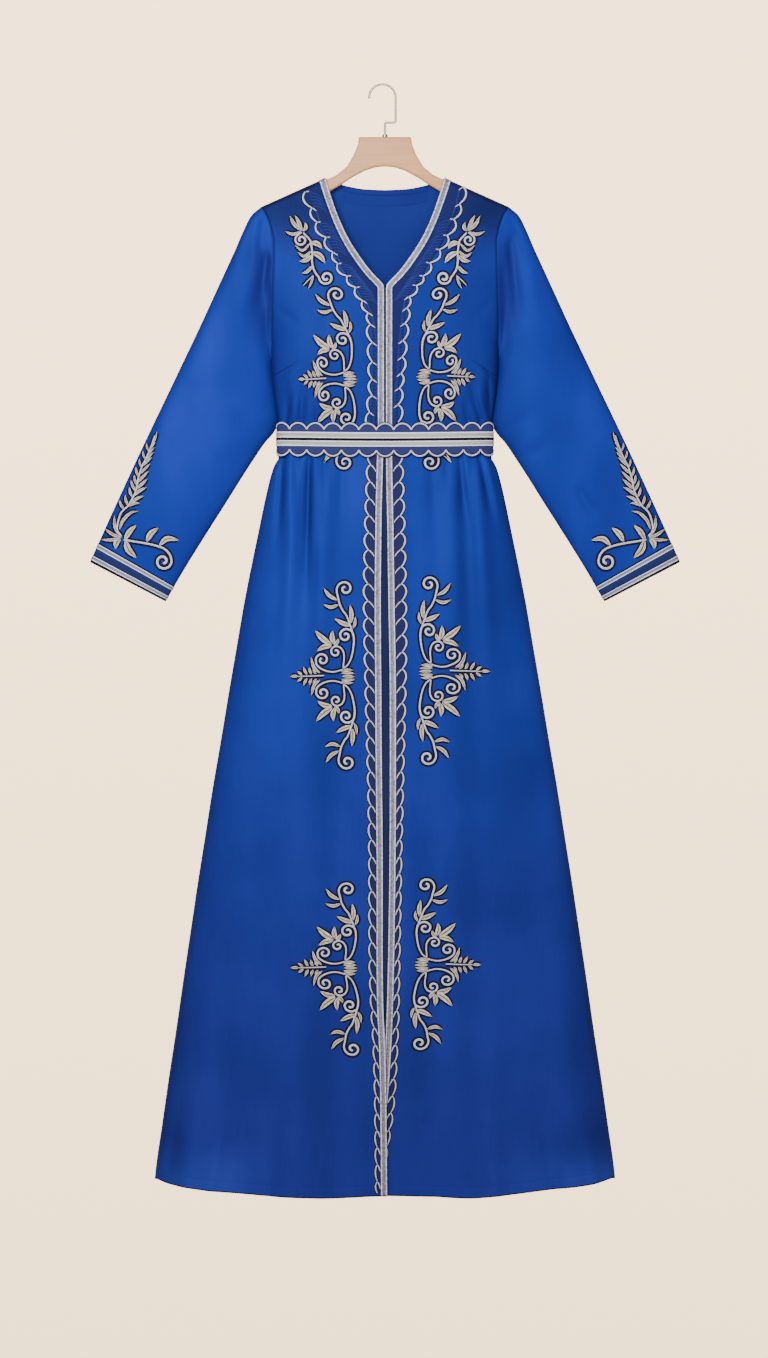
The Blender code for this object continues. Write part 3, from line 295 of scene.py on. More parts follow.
# creases and gathers in the satin, each from where it is deepest to where it fades: x and z of both ends, half
# width at each, height
CREASES = {
    "front": (
        ("x0", "z0", "x1", "z1", "half0", "half1", "height"),
        (-159.0, -427.0, -122.0, -405.0, 3.2, 2.6, -1.5),
        (-156.0, -432.0, -120.0, -412.0, 5.0, 5.0, 0.9),
        (160.0, -424.0, 130.0, -397.0, 3.2, 2.6, -1.5),
        (157.0, -431.0, 126.0, -404.0, 5.0, 5.0, 0.9),
        (-144.0, -488.0, -137.0, -440.0, 3.6, 6.0, -2.6),
        (-133.0, -488.0, -128.0, -448.0, 4.0, 6.0, 1.5),
        (-121.5, -488.0, -118.0, -432.0, 3.6, 6.0, -2.4),
        (-110.0, -488.0, -108.0, -446.0, 4.5, 7.0, 1.3),
        (-99.0, -488.0, -98.0, -444.0, 3.4, 6.0, -2.0),
        (-86.0, -488.0, -86.0, -456.0, 4.5, 7.0, 0.9),
        (104.0, -488.0, 98.0, -452.0, 3.4, 6.0, -1.4),
        (120.0, -488.0, 112.0, -448.0, 3.4, 6.0, -1.8),
        (129.0, -488.0, 118.0, -446.0, 4.0, 6.0, 1.4),
        (139.0, -488.0, 124.0, -430.0, 3.4, 6.0, -2.6),
        (148.0, -488.0, 134.0, -440.0, 3.4, 6.0, 1.5),
        (155.0, -486.0, 146.0, -400.0, 3.4, 5.0, -2.4),
        (-149.0, -538.0, -156.0, -688.0, 4.0, 8.0, -3.0),
        (-139.0, -538.0, -146.0, -670.0, 4.5, 9.0, 2.0),
        (-127.0, -538.0, -131.0, -640.0, 4.0, 8.0, -1.6),
        (-109.5, -538.0, -114.5, -745.0, 3.2, 5.5, -3.4),
        (-102.0, -538.0, -106.0, -720.0, 4.5, 8.0, 1.6),
        (-87.0, -538.0, -90.0, -690.0, 4.0, 9.0, -1.7),
        (-62.0, -538.0, -65.0, -640.0, 4.0, 9.0, -1.0),
        (66.0, -538.0, 69.0, -650.0, 4.0, 9.0, -1.0),
        (88.0, -538.0, 92.0, -600.0, 4.0, 8.0, -1.3),
        (108.0, -538.0, 114.5, -640.0, 3.6, 7.0, -2.8),
        (117.0, -538.0, 126.0, -650.0, 4.5, 8.0, 1.7),
        (136.5, -538.0, 158.0, -640.0, 4.0, 8.0, -3.0),
        (147.0, -538.0, 170.0, -650.0, 4.0, 8.0, 1.8),
        (-312.0, -1560.0, -286.0, -1390.0, 10.0, 17.0, -3.2),
        (-290.0, -1592.0, -268.0, -1480.0, 10.0, 14.0, 2.0),
        (-252.0, -1600.0, -222.0, -1420.0, 11.0, 17.0, 3.0),
        (-168.0, -1605.0, -150.0, -1450.0, 11.0, 17.0, -2.6),
        (-92.0, -1608.0, -84.0, -1470.0, 12.0, 18.0, 2.4),
        (78.0, -1606.0, 72.0, -1460.0, 11.0, 17.0, -2.2),
        (162.0, -1605.0, 148.0, -1440.0, 12.0, 17.0, 2.6),
        (246.0, -1598.0, 220.0, -1430.0, 10.0, 15.0, -2.8),
        (330.0, -1560.0, 300.0, -1370.0, 10.0, 17.0, -3.4),
        (306.0, -1592.0, 280.0, -1470.0, 10.0, 14.0, 2.2),
        (-124.0, -205.0, -96.0, -236.0, 8.0, 10.0, -0.9),
        (132.0, -212.0, 104.0, -244.0, 8.0, 10.0, -0.9),
        (-150.0, -330.0, -120.0, -350.0, 6.0, 8.0, -0.9),
        (150.0, -318.0, 122.0, -344.0, 6.0, 8.0, -0.9),
    ),
    "back": (
        ("x0", "z0", "x1", "z1", "half0", "half1", "height"),
        (-146.0, -488.0, -140.0, -436.0, 3.6, 6.0, -2.2),
        (-118.0, -488.0, -116.0, -446.0, 3.6, 6.0, -1.9),
        (-92.0, -488.0, -90.0, -428.0, 3.8, 6.5, -2.4),
        (-52.0, -488.0, -51.0, -448.0, 3.6, 6.0, -1.5),
        (-20.0, -488.0, -21.0, -452.0, 3.6, 6.0, -1.7),
        (22.0, -488.0, 24.0, -440.0, 3.6, 6.0, -1.9),
        (61.0, -488.0, 62.0, -450.0, 3.6, 6.0, -1.4),
        (88.0, -488.0, 86.0, -432.0, 3.8, 6.5, -2.3),
        (121.0, -488.0, 116.0, -448.0, 3.6, 6.0, -1.9),
        (147.0, -488.0, 141.0, -430.0, 3.6, 6.0, -2.2),
        (-140.0, -538.0, -152.0, -690.0, 4.0, 8.0, -2.6),
        (-110.0, -538.0, -118.0, -640.0, 4.0, 8.0, -1.8),
        (-80.0, -538.0, -86.0, -760.0, 4.0, 8.0, -2.6),
        (-40.0, -538.0, -42.0, -650.0, 4.0, 8.0, -1.6),
        (-2.0, -538.0, -1.0, -720.0, 4.0, 8.0, -2.4),
        (30.0, -538.0, 34.0, -640.0, 4.0, 8.0, -1.7),
        (68.0, -538.0, 74.0, -740.0, 4.0, 8.0, -2.6),
        (108.0, -538.0, 117.0, -650.0, 4.0, 8.0, -1.9),
        (138.0, -538.0, 152.0, -700.0, 4.0, 8.0, -2.5),
        (-230.0, -1602.0, -205.0, -1430.0, 12.0, 18.0, -3.0),
        (-120.0, -1606.0, -108.0, -1450.0, 12.0, 18.0, 2.6),
        (-10.0, -1606.0, -8.0, -1440.0, 12.0, 18.0, -2.6),
        (96.0, -1606.0, 86.0, -1460.0, 12.0, 18.0, 2.6),
        (210.0, -1602.0, 190.0, -1430.0, 12.0, 18.0, -3.0),
    ),
}
# puckers beside the stiff embroidery of the skirt: x, z, half length, half width, height
PUCKERS = (
    (40.0, -640.0, 5.0, 2.6, 0.5), (41.0, -668.0, 6.0, 2.8, -0.5), (40.5, -702.0, 5.0, 2.6, 0.5),
    (41.5, -741.0, 6.0, 3.0, -0.6), (42.0, -779.0, 5.0, 2.6, 0.5), (42.0, -826.0, 6.0, 3.0, -0.6),
    (41.0, -868.0, 6.0, 2.8, 0.5), (41.0, -921.0, 6.0, 3.0, -0.5), (40.0, -966.0, 5.0, 2.8, 0.5),
    (-46.0, -690.0, 5.0, 2.6, -0.4), (-47.0, -760.0, 6.0, 3.0, 0.4), (-46.0, -838.0, 6.0, 3.0, -0.4),
)


def crease_relief(x, z, rows):
    """Height of the creases at a point."""
    x, z = np.broadcast_arrays(np.asarray(x, float), np.asarray(z, float))
    total = np.zeros(x.shape)
    for x0, z0, x1, z1, half0, half1, height in rows[1:]:
        dx, dz = x1 - x0, z1 - z0
        along = ((x - x0) * dx + (z - z0) * dz) / (dx * dx + dz * dz)
        held = np.clip(along, 0, 1)
        away = np.hypot(x - (x0 + dx * held), z - (z0 + dz * held))
        half = half0 + (half1 - half0) * held
        total = total + height * (1 - smoothstep(along, 0.4, 1.05)) * np.exp(-((away / half) ** 2))
    return total


def pucker_relief(x, z):
    total = np.zeros(np.broadcast(x, z).shape)
    for px, pz, long_half, half, height in PUCKERS:
        total = total + height * np.exp(-(((x - px) / long_half) ** 2) - (((z - pz) / half) ** 2))
    return total


def seam_groove(x, z):
    """The sunken line of the armhole's seam."""
    z = np.asarray(z, float)
    near = np.exp(-(((half_width(z) - np.abs(x)) / 1.7) ** 2))
    return 1.1 * near * smoothstep(z, Z_UNDERARM - 2.0, Z_UNDERARM + 22.0)


def body_depth(x, z, face):
    """Distance of the cloth's middle from the plane of the side seams."""
    x, z = np.asarray(x, float), np.asarray(z, float)
    across = np.clip(np.abs(x) / half_width(z), 0, 1)
    deep = depth_of[face](z)
    edge = np.where(z > Z_UNDERARM, np.minimum(armhole_depth(z, face), deep * 0.98), 0.0)
    chest = np.sqrt(np.maximum((deep**2 - edge**2) * (1 - across**SECTION_POWER), 0) + edge**2)
    below = ridge_z(x) - z
    rounding = 1 - np.clip(below / RIDGE_DROP, 0, 1)
    shoulder = RIDGE_DEPTH * (1 - rounding**2.3) ** (1 / 2.3)
    share = smoothstep(below, 6, 130)
    depth = shoulder * (1 - share) + chest * share
    relief = np.where(
        z < Z_WAIST,
        fold_relief(x, z, FOLDS["skirt_" + face]) + wave_relief(x, z, face),
        fold_relief(x, z, FOLDS["bodice_" + face]),
    )
    inside = 1 - across**8
    crease = crease_relief(x, z, CREASES[face]) * (1 - across**30)
    return np.maximum(depth + relief * inside + crease - seam_groove(x, z), SEAM_GAP)


def lap(x, z):
    """How far the right front's edge drops behind the left one near the hem."""
    near = 1 - smoothstep(x - centre_right(z), 10.0, 90.0)
    return LAP_DEPTH * smoothstep(-np.asarray(z, float), *LAP_REACH) * near


def front_point(x, z, right=False, lift=0.0):
    """A point of the front's cloth, and its outward normal, lifted off the cloth's middle."""

    def depth(px, pz):
        return body_depth(px, pz, "front") - (lap(px, pz) if right else 0.0)

    return lifted(x, z, depth, -1.0, lift)


def back_point(x, z, lift=0.0):
    return lifted(x, z, lambda px, pz: body_depth(px, pz, "back"), 1.0, lift)


def lifted(x, z, depth, facing, lift):
    x, z = np.broadcast_arrays(np.asarray(x, float), np.asarray(z, float))
    base = depth(x, z)
    if np.any(lift):
        step = 0.8
        dx = (depth(x + step, z) - depth(x - step, z)) / (2 * step)
        dz = (depth(x, z + step) - depth(x, z - step)) / (2 * step)
        size = np.sqrt(1 + dx**2 + dz**2)
        x = x - dx / size * lift
        z = z - dz / size * lift
        base = base + lift / size
    return np.stack([x, facing * base, z], -1)


def coons(u, v, left, right, foot, top):
    """A patch between four edges, each a function that gives x and z."""
    u, v = u[..., None], v[..., None]
    lu, ru = left(v[..., 0]), right(v[..., 0])
    fv, tv = foot(u[..., 0]), top(u[..., 0])
    zero, one = np.zeros(1), np.ones(1)
    c00, c10, c01, c11 = foot(zero)[0], foot(one)[0], top(zero)[0], top(one)[0]
    return (
        (1 - u) * lu + u * ru + (1 - v) * fv + v * tv
        - ((1 - u) * (1 - v) * c00 + u * (1 - v) * c10 + (1 - u) * v * c01 + u * v * c11)
    )


def side_z(v, foot_z, top_z):
    return foot_z + (top_z - foot_z) * v


def neck_edge(v):
    """The neckline and centre edge of the left front."""
    z = side_z(v, Z_WAIST + SEAM_GAP, Z_NECK)
    return np.stack([-neckline_x(z), z], -1)


def neck_inner(v):
    """The line that runs a braid's width inside the neckline; at the top it follows the shoulder."""
    v = np.asarray(v, float)
    step = 0.008
    tangent = neck_edge(np.clip(v + step, 0, 1)) - neck_edge(np.clip(v - step, 0, 1))
    tangent /= np.linalg.norm(tangent, axis=-1, keepdims=True)
    line = neck_edge(v) + np.stack([-tangent[..., 1], tangent[..., 0]], -1) * BRAID_WIDTH
    corner = np.array([-X_NECK - BRAID_WIDTH, float(ridge_z(X_NECK + BRAID_WIDTH))])
    shoulder = neck_edge(np.ones(1))[0]
    end = neck_edge(np.ones(1))[0] - neck_edge(np.ones(1) - step)[0]
    end /= np.linalg.norm(end)
    drawn = shoulder + np.array([-end[1], end[0]]) * BRAID_WIDTH
    return line + smoothstep(v, 0.86, 1.0)[..., None] * (corner - drawn)


def bodice_front_plan(u, v):
    """x and z of the left bodice front: u from the side (0) to the braid's inner line (1) and on to the
    neckline (2), v from the waist up."""
    foot_z = Z_WAIST + SEAM_GAP
    inner_x = 1.1 + BRAID_WIDTH
    top_x = X_NECK + BRAID_WIDTH
    across = np.clip(u, 0, 1)
    panel = coons(
        across, v,
        lambda v: np.stack([-half_width(side_z(v, foot_z, Z_TIP)), side_z(v, foot_z, Z_TIP)], -1),
        neck_inner,
        lambda u: np.stack([-half_width(foot_z) * (1 - u) - inner_x * u, foot_z + 0 * u], -1),
        lambda u: np.stack([-X_TIP + (X_TIP - top_x) * u, ridge_z(-X_TIP + (X_TIP - top_x) * u)], -1),
    )
    beyond = np.clip(u - 1, 0, 1)[..., None]
    return np.where(beyond > 0, neck_inner(v) * (1 - beyond) + neck_edge(v) * beyond, panel)


def bodice_back_plan(u, v):
    """The same for the left half of the back; its top runs along the shoulder and the back neck."""
    foot_z = Z_WAIST + SEAM_GAP
    turn = (X_TIP - X_NECK) / X_TIP

    def top(u):
        x = -X_TIP * (1 - u)
        z = np.where(u < turn, Z_TIP + (Z_NECK - Z_TIP) * np.minimum(u / turn, 1), back_neck_z(-x))
        return np.stack([x, z], -1)

    centre_z = float(back_neck_z(0.0))
    return coons(
        u, v,
        lambda v: np.stack([-half_width(side_z(v, foot_z, Z_TIP)), side_z(v, foot_z, Z_TIP)], -1),
        lambda v: np.stack([0 * v, side_z(v, foot_z, centre_z)], -1),
        lambda u: np.stack([-half_width(foot_z) * (1 - u), foot_z + 0 * u], -1),
        top,
    )


def skirt_plan(u, v, side, centre, hem):
    """x and z of a front skirt: u from the side (0) to the braid's inner line (1) and on to the centre
    edge (2), v from the hem up to the waist. side is -1 for the left and 1 for the right."""
    top_z = Z_WAIST - SEAM_GAP
    u = np.asarray(u, float)

    def x_at(z):
        edge = centre(z)
        inner = edge + side * BRAID_WIDTH
        outer = side * half_width(z)
        return np.where(u <= 1, outer * (1 - u) + inner * u, inner * (2 - u) + edge * (u - 1))

    foot_z = hem(x_at(np.full(u.shape, Z_HEM + 12.0)))
    z = foot_z + (top_z - foot_z) * v
    return np.stack([x_at(z), z], -1)


def skirt_back_plan(u, v):
    top_z = Z_WAIST - SEAM_GAP
    spread = 2 * np.asarray(u, float) - 1
    foot_x = spread * half_width(Z_HEM + 12.0)
    foot_z = hem_z(foot_x) - HEM_BACK_DROP * smoothstep(np.abs(foot_x), 120, 300)
    z = foot_z + (top_z - foot_z) * v
    return np.stack([spread * half_width(z), z], -1)


sleeve_column = {
    name: smooth_table(SLEEVE[1:], SLEEVE[0].index(name)) for name in SLEEVE[0][1:]
}
ARMHOLE_MIDDLE = (Z_TIP + Z_UNDERARM) / 2
ARMHOLE_HALF = (Z_TIP - Z_UNDERARM) / 2


def sleeve_point(along, turn):
    """A point of the left sleeve: along from 0 at the armhole to 1 at the cuff, turn from 0 at the shoulder
    over the front to half at the underarm, and over the back to 1."""
    along, turn = np.broadcast_arrays(np.asarray(along, float), np.asarray(turn, float))
    angle = turn * 2 * math.pi
    cosine, sine = np.cos(angle), np.sin(angle)

    def ring(value):
        c = np.sign(cosine) * np.abs(cosine) ** 0.86
        mid_x, mid_z = (value["outer_x"] + value["inner_x"]) / 2, (value["outer_z"] + value["inner_z"]) / 2
        half_x, half_z = (value["outer_x"] - value["inner_x"]) / 2, (value["outer_z"] - value["inner_z"]) / 2
        y = value["inner_y"] * (1 - c) / 2 - value["half_depth"] * np.sign(sine) * np.abs(sine) ** 0.9
        return np.stack([mid_x + half_x * c, y, mid_z + half_z * c], -1)

    here = ring({name: column(along) for name, column in sleeve_column.items()})
    start = ring({name: column(np.zeros_like(along)) for name, column in sleeve_column.items()})
    armhole_z = ARMHOLE_MIDDLE + ARMHOLE_HALF * cosine
    width = half_width(armhole_z)
    deep = np.where(sine >= 0, -body_depth(width, armhole_z, "front"), body_depth(width, armhole_z, "back"))
    deep = np.where(np.abs(sine) < 1e-6, 0.0, deep)
    seam = np.stack([-width - SLEEVE_SEAM, deep, armhole_z], -1)
    keep = (1 - smoothstep(along, 0.0, 0.22))[..., None]
    return here + keep * (seam - start)


# ---------------------------------------------------------------- looks: sizes
SHELL = 1.0            # thickness of the satin as it is shown
FACE = SHELL / 2       # from the cloth's middle to its face
UNIT = 1.45            # one unit of the embroidery charts, in mm
# the dark edging is partly dark couching and partly painted shadow round the raised cords
OUTLINE = 3.0          # how far the dark edging shows beside a cord
BELT_CORD_DROP = 9.0


def front_look(x, z, right=False, lift=0.0):
    """The front's surface, with its puckers and stitched hem."""

    def depth(px, pz):
        found = body_depth(px, pz, "front") - (lap(px, pz) if right else 0.0)
        return found + pucker_relief(px, pz) - hem_line(px, pz)

    return lifted(x, z, depth, -1.0, lift)


def back_look(x, z, lift=0.0):
    return lifted(x, z, lambda px, pz: body_depth(px, pz, "back") - hem_line(px, pz), 1.0, lift)


def hem_line(x, z):
    """The shallow line of hem stitches."""
    return 0.45 * np.exp(-(((z - hem_z(x) - 15.0) / 1.3) ** 2))


# creases of the left sleeve: x and z of both ends, deepest end first, half widths, height; the right one's
# are given as if it were the left one
SLEEVE_CREASES = {
    "left": (
        ("x0", "z0", "x1", "z1", "half0", "half1", "height"),
        (-172.0, -250.0, -184.0, -350.0, 6.0, 11.0, -4.6),
        (-188.0, -240.0, -206.0, -345.0, 8.0, 12.0, 1.8),
        (-168.0, -300.0, -171.0, -450.0, 7.0, 10.0, -3.0),
        (-166.0, -330.0, -176.0, -450.0, 5.0, 7.0, 1.2),
        (-186.0, -196.0, -196.0, -262.0, 5.0, 8.0, 1.3),
        (-176.0, -200.0, -184.0, -262.0, 5.0, 8.0, -1.4),
        (-182.0, -505.0, -226.0, -468.0, 5.0, 9.0, -1.4),
        (-190.0, -530.0, -240.0, -500.0, 5.0, 9.0, 1.2),
        (-204.0, -560.0, -250.0, -538.0, 5.0, 9.0, -1.3),
        (-300.0, -430.0, -262.0, -452.0, 6.0, 10.0, -1.1),
        (-330.0, -495.0, -290.0, -512.0, 6.0, 10.0, 1.0),
        (-268.0, -660.0, -300.0, -606.0, 5.0, 9.0, -1.4),
    ),
    "right": (
        ("x0", "z0", "x1", "z1", "half0", "half1", "height"),
        (-182.0, -228.0, -196.0, -370.0, 6.0, 11.0, -4.2),
        (-204.0, -226.0, -224.0, -356.0, 8.0, 12.0, 1.4),
        (-172.0, -270.0, -176.0, -430.0, 6.0, 8.0, -1.8),
        (-184.0, -190.0, -196.0, -240.0, 5.0, 8.0, -1.3),
        (-178.0, -500.0, -222.0, -474.0, 5.0, 9.0, -1.4),
        (-196.0, -545.0, -246.0, -516.0, 5.0, 9.0, -1.3),
        (-190.0, -528.0, -236.0, -498.0, 5.0, 9.0, 1.1),
        (-283.0, -590.0, -312.0, -634.0, 6.0, 9.0, -3.6),
        (-293.0, -588.0, -318.0, -620.0, 5.0, 8.0, 1.2),
        (-306.0, -436.0, -270.0, -462.0, 6.0, 10.0, -1.1),
        (-336.0, -500.0, -300.0, -520.0, 6.0, 10.0, 0.9),
    ),
}


# how far the sleeve's inner edge moves towards the bodice: z, mm
SLEEVE_INWARD = ((-600.0, 0.0), (-530.0, 0.0), (-514.0, 0.6), (-500.0, 4.2), (-487.0, 7.4), (-456.0, 6.4), (-420.0, 3.6),
                 (-385.0, 1.2), (-365.0, 0.0), (0.0, 0.0))


def sleeve_look(along, turn, which):
    """A point of the left sleeve with the creases of that sleeve."""
    along, turn = np.broadcast_arrays(np.asarray(along, float), np.asarray(turn, float))
    point = sleeve_point(along, turn)
    sine = np.sin(turn * 2 * math.pi)
    relief = crease_relief(point[..., 0], point[..., 2], SLEEVE_CREASES[which])
    relief = relief * np.where(sine < 0, -0.8, 1.0)
    seam = 1.0 * np.exp(-((along * 600.0 / 2.0) ** 2))
    hem = 0.0 * along
    out = (relief - seam - hem) * np.abs(sine) ** 0.7
    shift = np.zeros_like(point)
    shift[..., 1] = -np.sign(sine) * out
    inward = np.interp(point[..., 2], *np.array(SLEEVE_INWARD).T)
    shift[..., 0] = inward * ((1 - np.cos(turn * 2 * math.pi)) / 2) ** 3
    return point + shift


def sleeve_face(along, turn, which, lift):
    """The same, lifted off the cloth along its normal."""
    here = sleeve_look(along, turn, which)
    step_a, step_t = 0.002, 0.0025
    da = sleeve_look(along + step_a, turn, which) - sleeve_look(along - step_a, turn, which)
    dt = sleeve_look(along, turn + step_t, which) - sleeve_look(along, turn - step_t, which)
    normal = np.cross(da, dt)
    normal /= np.maximum(np.linalg.norm(normal, axis=-1, keepdims=True), 1e-9)
    middle = (sleeve_point(along, 0.0 * turn) + sleeve_point(along, 0.0 * turn + 0.5)) / 2
    sign = np.sign(np.sum(normal * (here - middle), -1, keepdims=True))
    return here + normal * np.where(sign == 0, 1, sign) * np.asarray(lift)[..., None]


SLEEVE_LINES = np.linspace(0.3, 1.0, 281)


def sleeve_place(x, z):
    """Along and turn of the left sleeve for a place in the front's plan; a place beyond the outer fold
    wraps round to the back."""
    ox, oz = sleeve_column["outer_x"](SLEEVE_LINES), sleeve_column["outer_z"](SLEEVE_LINES)
    ix, iz = sleeve_column["inner_x"](SLEEVE_LINES), sleeve_column["inner_z"](SLEEVE_LINES)
    flat_x, flat_z = np.ravel(x)[:, None], np.ravel(z)[:, None]
    side = (flat_x - ox) * (iz - oz) - (flat_z - oz) * (ix - ox)
    side = side / np.hypot(ix - ox, iz - oz)
    row = np.argmin(np.abs(side), 1)
    row = np.clip(row, 1, len(SLEEVE_LINES) - 2)
    index = np.arange(len(row))
    before, after = side[index, row - 1], side[index, row + 1]
    share = np.clip(-before / np.where(after == before, 1, after - before), -1, 2)
    along = SLEEVE_LINES[row - 1] + share * (SLEEVE_LINES[row + 1] - SLEEVE_LINES[row - 1])
    columns = {name: read(along) for name, read in sleeve_column.items()}
    wide_x, wide_z = columns["inner_x"] - columns["outer_x"], columns["inner_z"] - columns["outer_z"]
    q = ((flat_x[:, 0] - columns["outer_x"]) * wide_x + (flat_z[:, 0] - columns["outer_z"]) * wide_z)
    q = 2 * q / (wide_x**2 + wide_z**2)
    c = np.clip(1 - np.abs(q), -1, 1)
    angle = np.arccos(np.sign(c) * np.abs(c) ** (1 / 0.86))
    turn = np.where(q < 0, -1, 1) * angle / 2 / math.pi
    return along.reshape(np.shape(x)), turn.reshape(np.shape(x))


# the belt's loop, as distance along it from the middle of the front, + to the viewer's right
def belt_loop(angle):
    c, s = np.cos(angle), np.sin(angle)
    power = 2 / SECTION_POWER
    half = float(half_width(Z_WAIST)) + BELT_CLEAR
    front = float(depth_of["front"](Z_WAIST)) + BELT_CLEAR + 0.4
    back = float(depth_of["back"](Z_WAIST)) + BELT_CLEAR + 0.4
    return half * np.sign(c) * np.abs(c) ** power, np.where(s > 0, back, front) * np.sign(s) * np.abs(s) ** power


BELT_ANGLES = {"front": math.pi + np.linspace(0, math.pi, 6001), "back": np.linspace(0, math.pi, 6001)}
BELT_RUNS = {}
for belt_face, belt_angles in BELT_ANGLES.items():
    bx, by = belt_loop(belt_angles)
    BELT_RUNS[belt_face] = np.concatenate([[0], np.cumsum(np.hypot(np.diff(bx), np.diff(by)))])


def belt_plan(place):
    """x and y of the belt's middle; place runs 0 to 1 over the front from the viewer's left, 1 to 2 over the
    back from the viewer's right."""
    place = np.mod(place, 2.0)
    front = np.interp(place, BELT_RUNS["front"] / BELT_RUNS["front"][-1], BELT_ANGLES["front"])
    back = np.interp(place - 1, BELT_RUNS["back"] / BELT_RUNS["back"][-1], BELT_ANGLES["back"])
    return np.stack(belt_loop(np.where(place < 1, front, back)), -1)


def belt_face(place, z, lift):
    here = belt_plan(place)
    step = 0.004
    run = belt_plan(place + step) - belt_plan(place - step)
    run /= np.maximum(np.linalg.norm(run, axis=-1, keepdims=True), 1e-9)
    out = np.stack([run[..., 1], -run[..., 0]], -1)
    here = here + out * np.asarray(lift)[..., None]
    sag = -BELT_SAG * np.clip(1 - (here[..., 0] / 150.0) ** 2, 0, 1) * smoothstep(-here[..., 1], -4, 6)
    return np.stack([here[..., 0], here[..., 1], z + sag], -1)


def belt_arc(place):
    """0 at the points where two scallops meet, 1 in the middle of each."""
    within = np.mod(np.asarray(place, float) * BELT_SCALLOPS, 1.0)
    return (1 - (2 * within - 1) ** 2) ** 0.75


# ---------------------------------------------------------------- looks: finishes
class Tree:
    """A material's nodes."""

    def __init__(self, name):
        self.material = bpy.data.materials.new(name)
        self.material.use_nodes = True
        self.tree = self.material.node_tree
        self.shader = self.tree.nodes["Principled BSDF"]

    def node(self, kind, values=(), **settings):
        made = self.tree.nodes.new(kind)
        for key, value in settings.items():
            setattr(made, key, value)
        for key, value in dict(values).items():
            if hasattr(value, "links") or isinstance(value, bpy.types.NodeSocket):
                self.tree.links.new(value, made.inputs[key])
            else:
                made.inputs[key].default_value = value
        return made

    def math(self, operation, a, b=0.0, clamp=False):
        made = self.node("ShaderNodeMath", {0: a, 1: b}, operation=operation)
        made.use_clamp = clamp
        return made.outputs[0]

    def ramp(self, factor, stops, mode="LINEAR"):
        made = self.node("ShaderNodeValToRGB", {0: factor})
        ramp = made.color_ramp
        ramp.interpolation = mode
        while len(ramp.elements) < len(stops):
            ramp.elements.new(0.5)
        for element, (place, colour) in zip(ramp.elements, stops):
            element.position = place
            element.color = (*colour, 1) if len(colour) == 3 else colour
        return made.outputs[0]

    def set(self, **values):
        for key, value in values.items():
            socket = self.shader.inputs[key.replace("_", " ")]
            if isinstance(value, bpy.types.NodeSocket):
                self.tree.links.new(value, socket)
            else:
                socket.default_value = value
        return self

    def bump(self, height, strength, distance):
        made = self.node("ShaderNodeBump", {"Height": height, "Strength": strength, "Distance": distance})
        self.tree.links.new(made.outputs[0], self.shader.inputs["Normal"])


def grey(value):
    return (value, value, value)


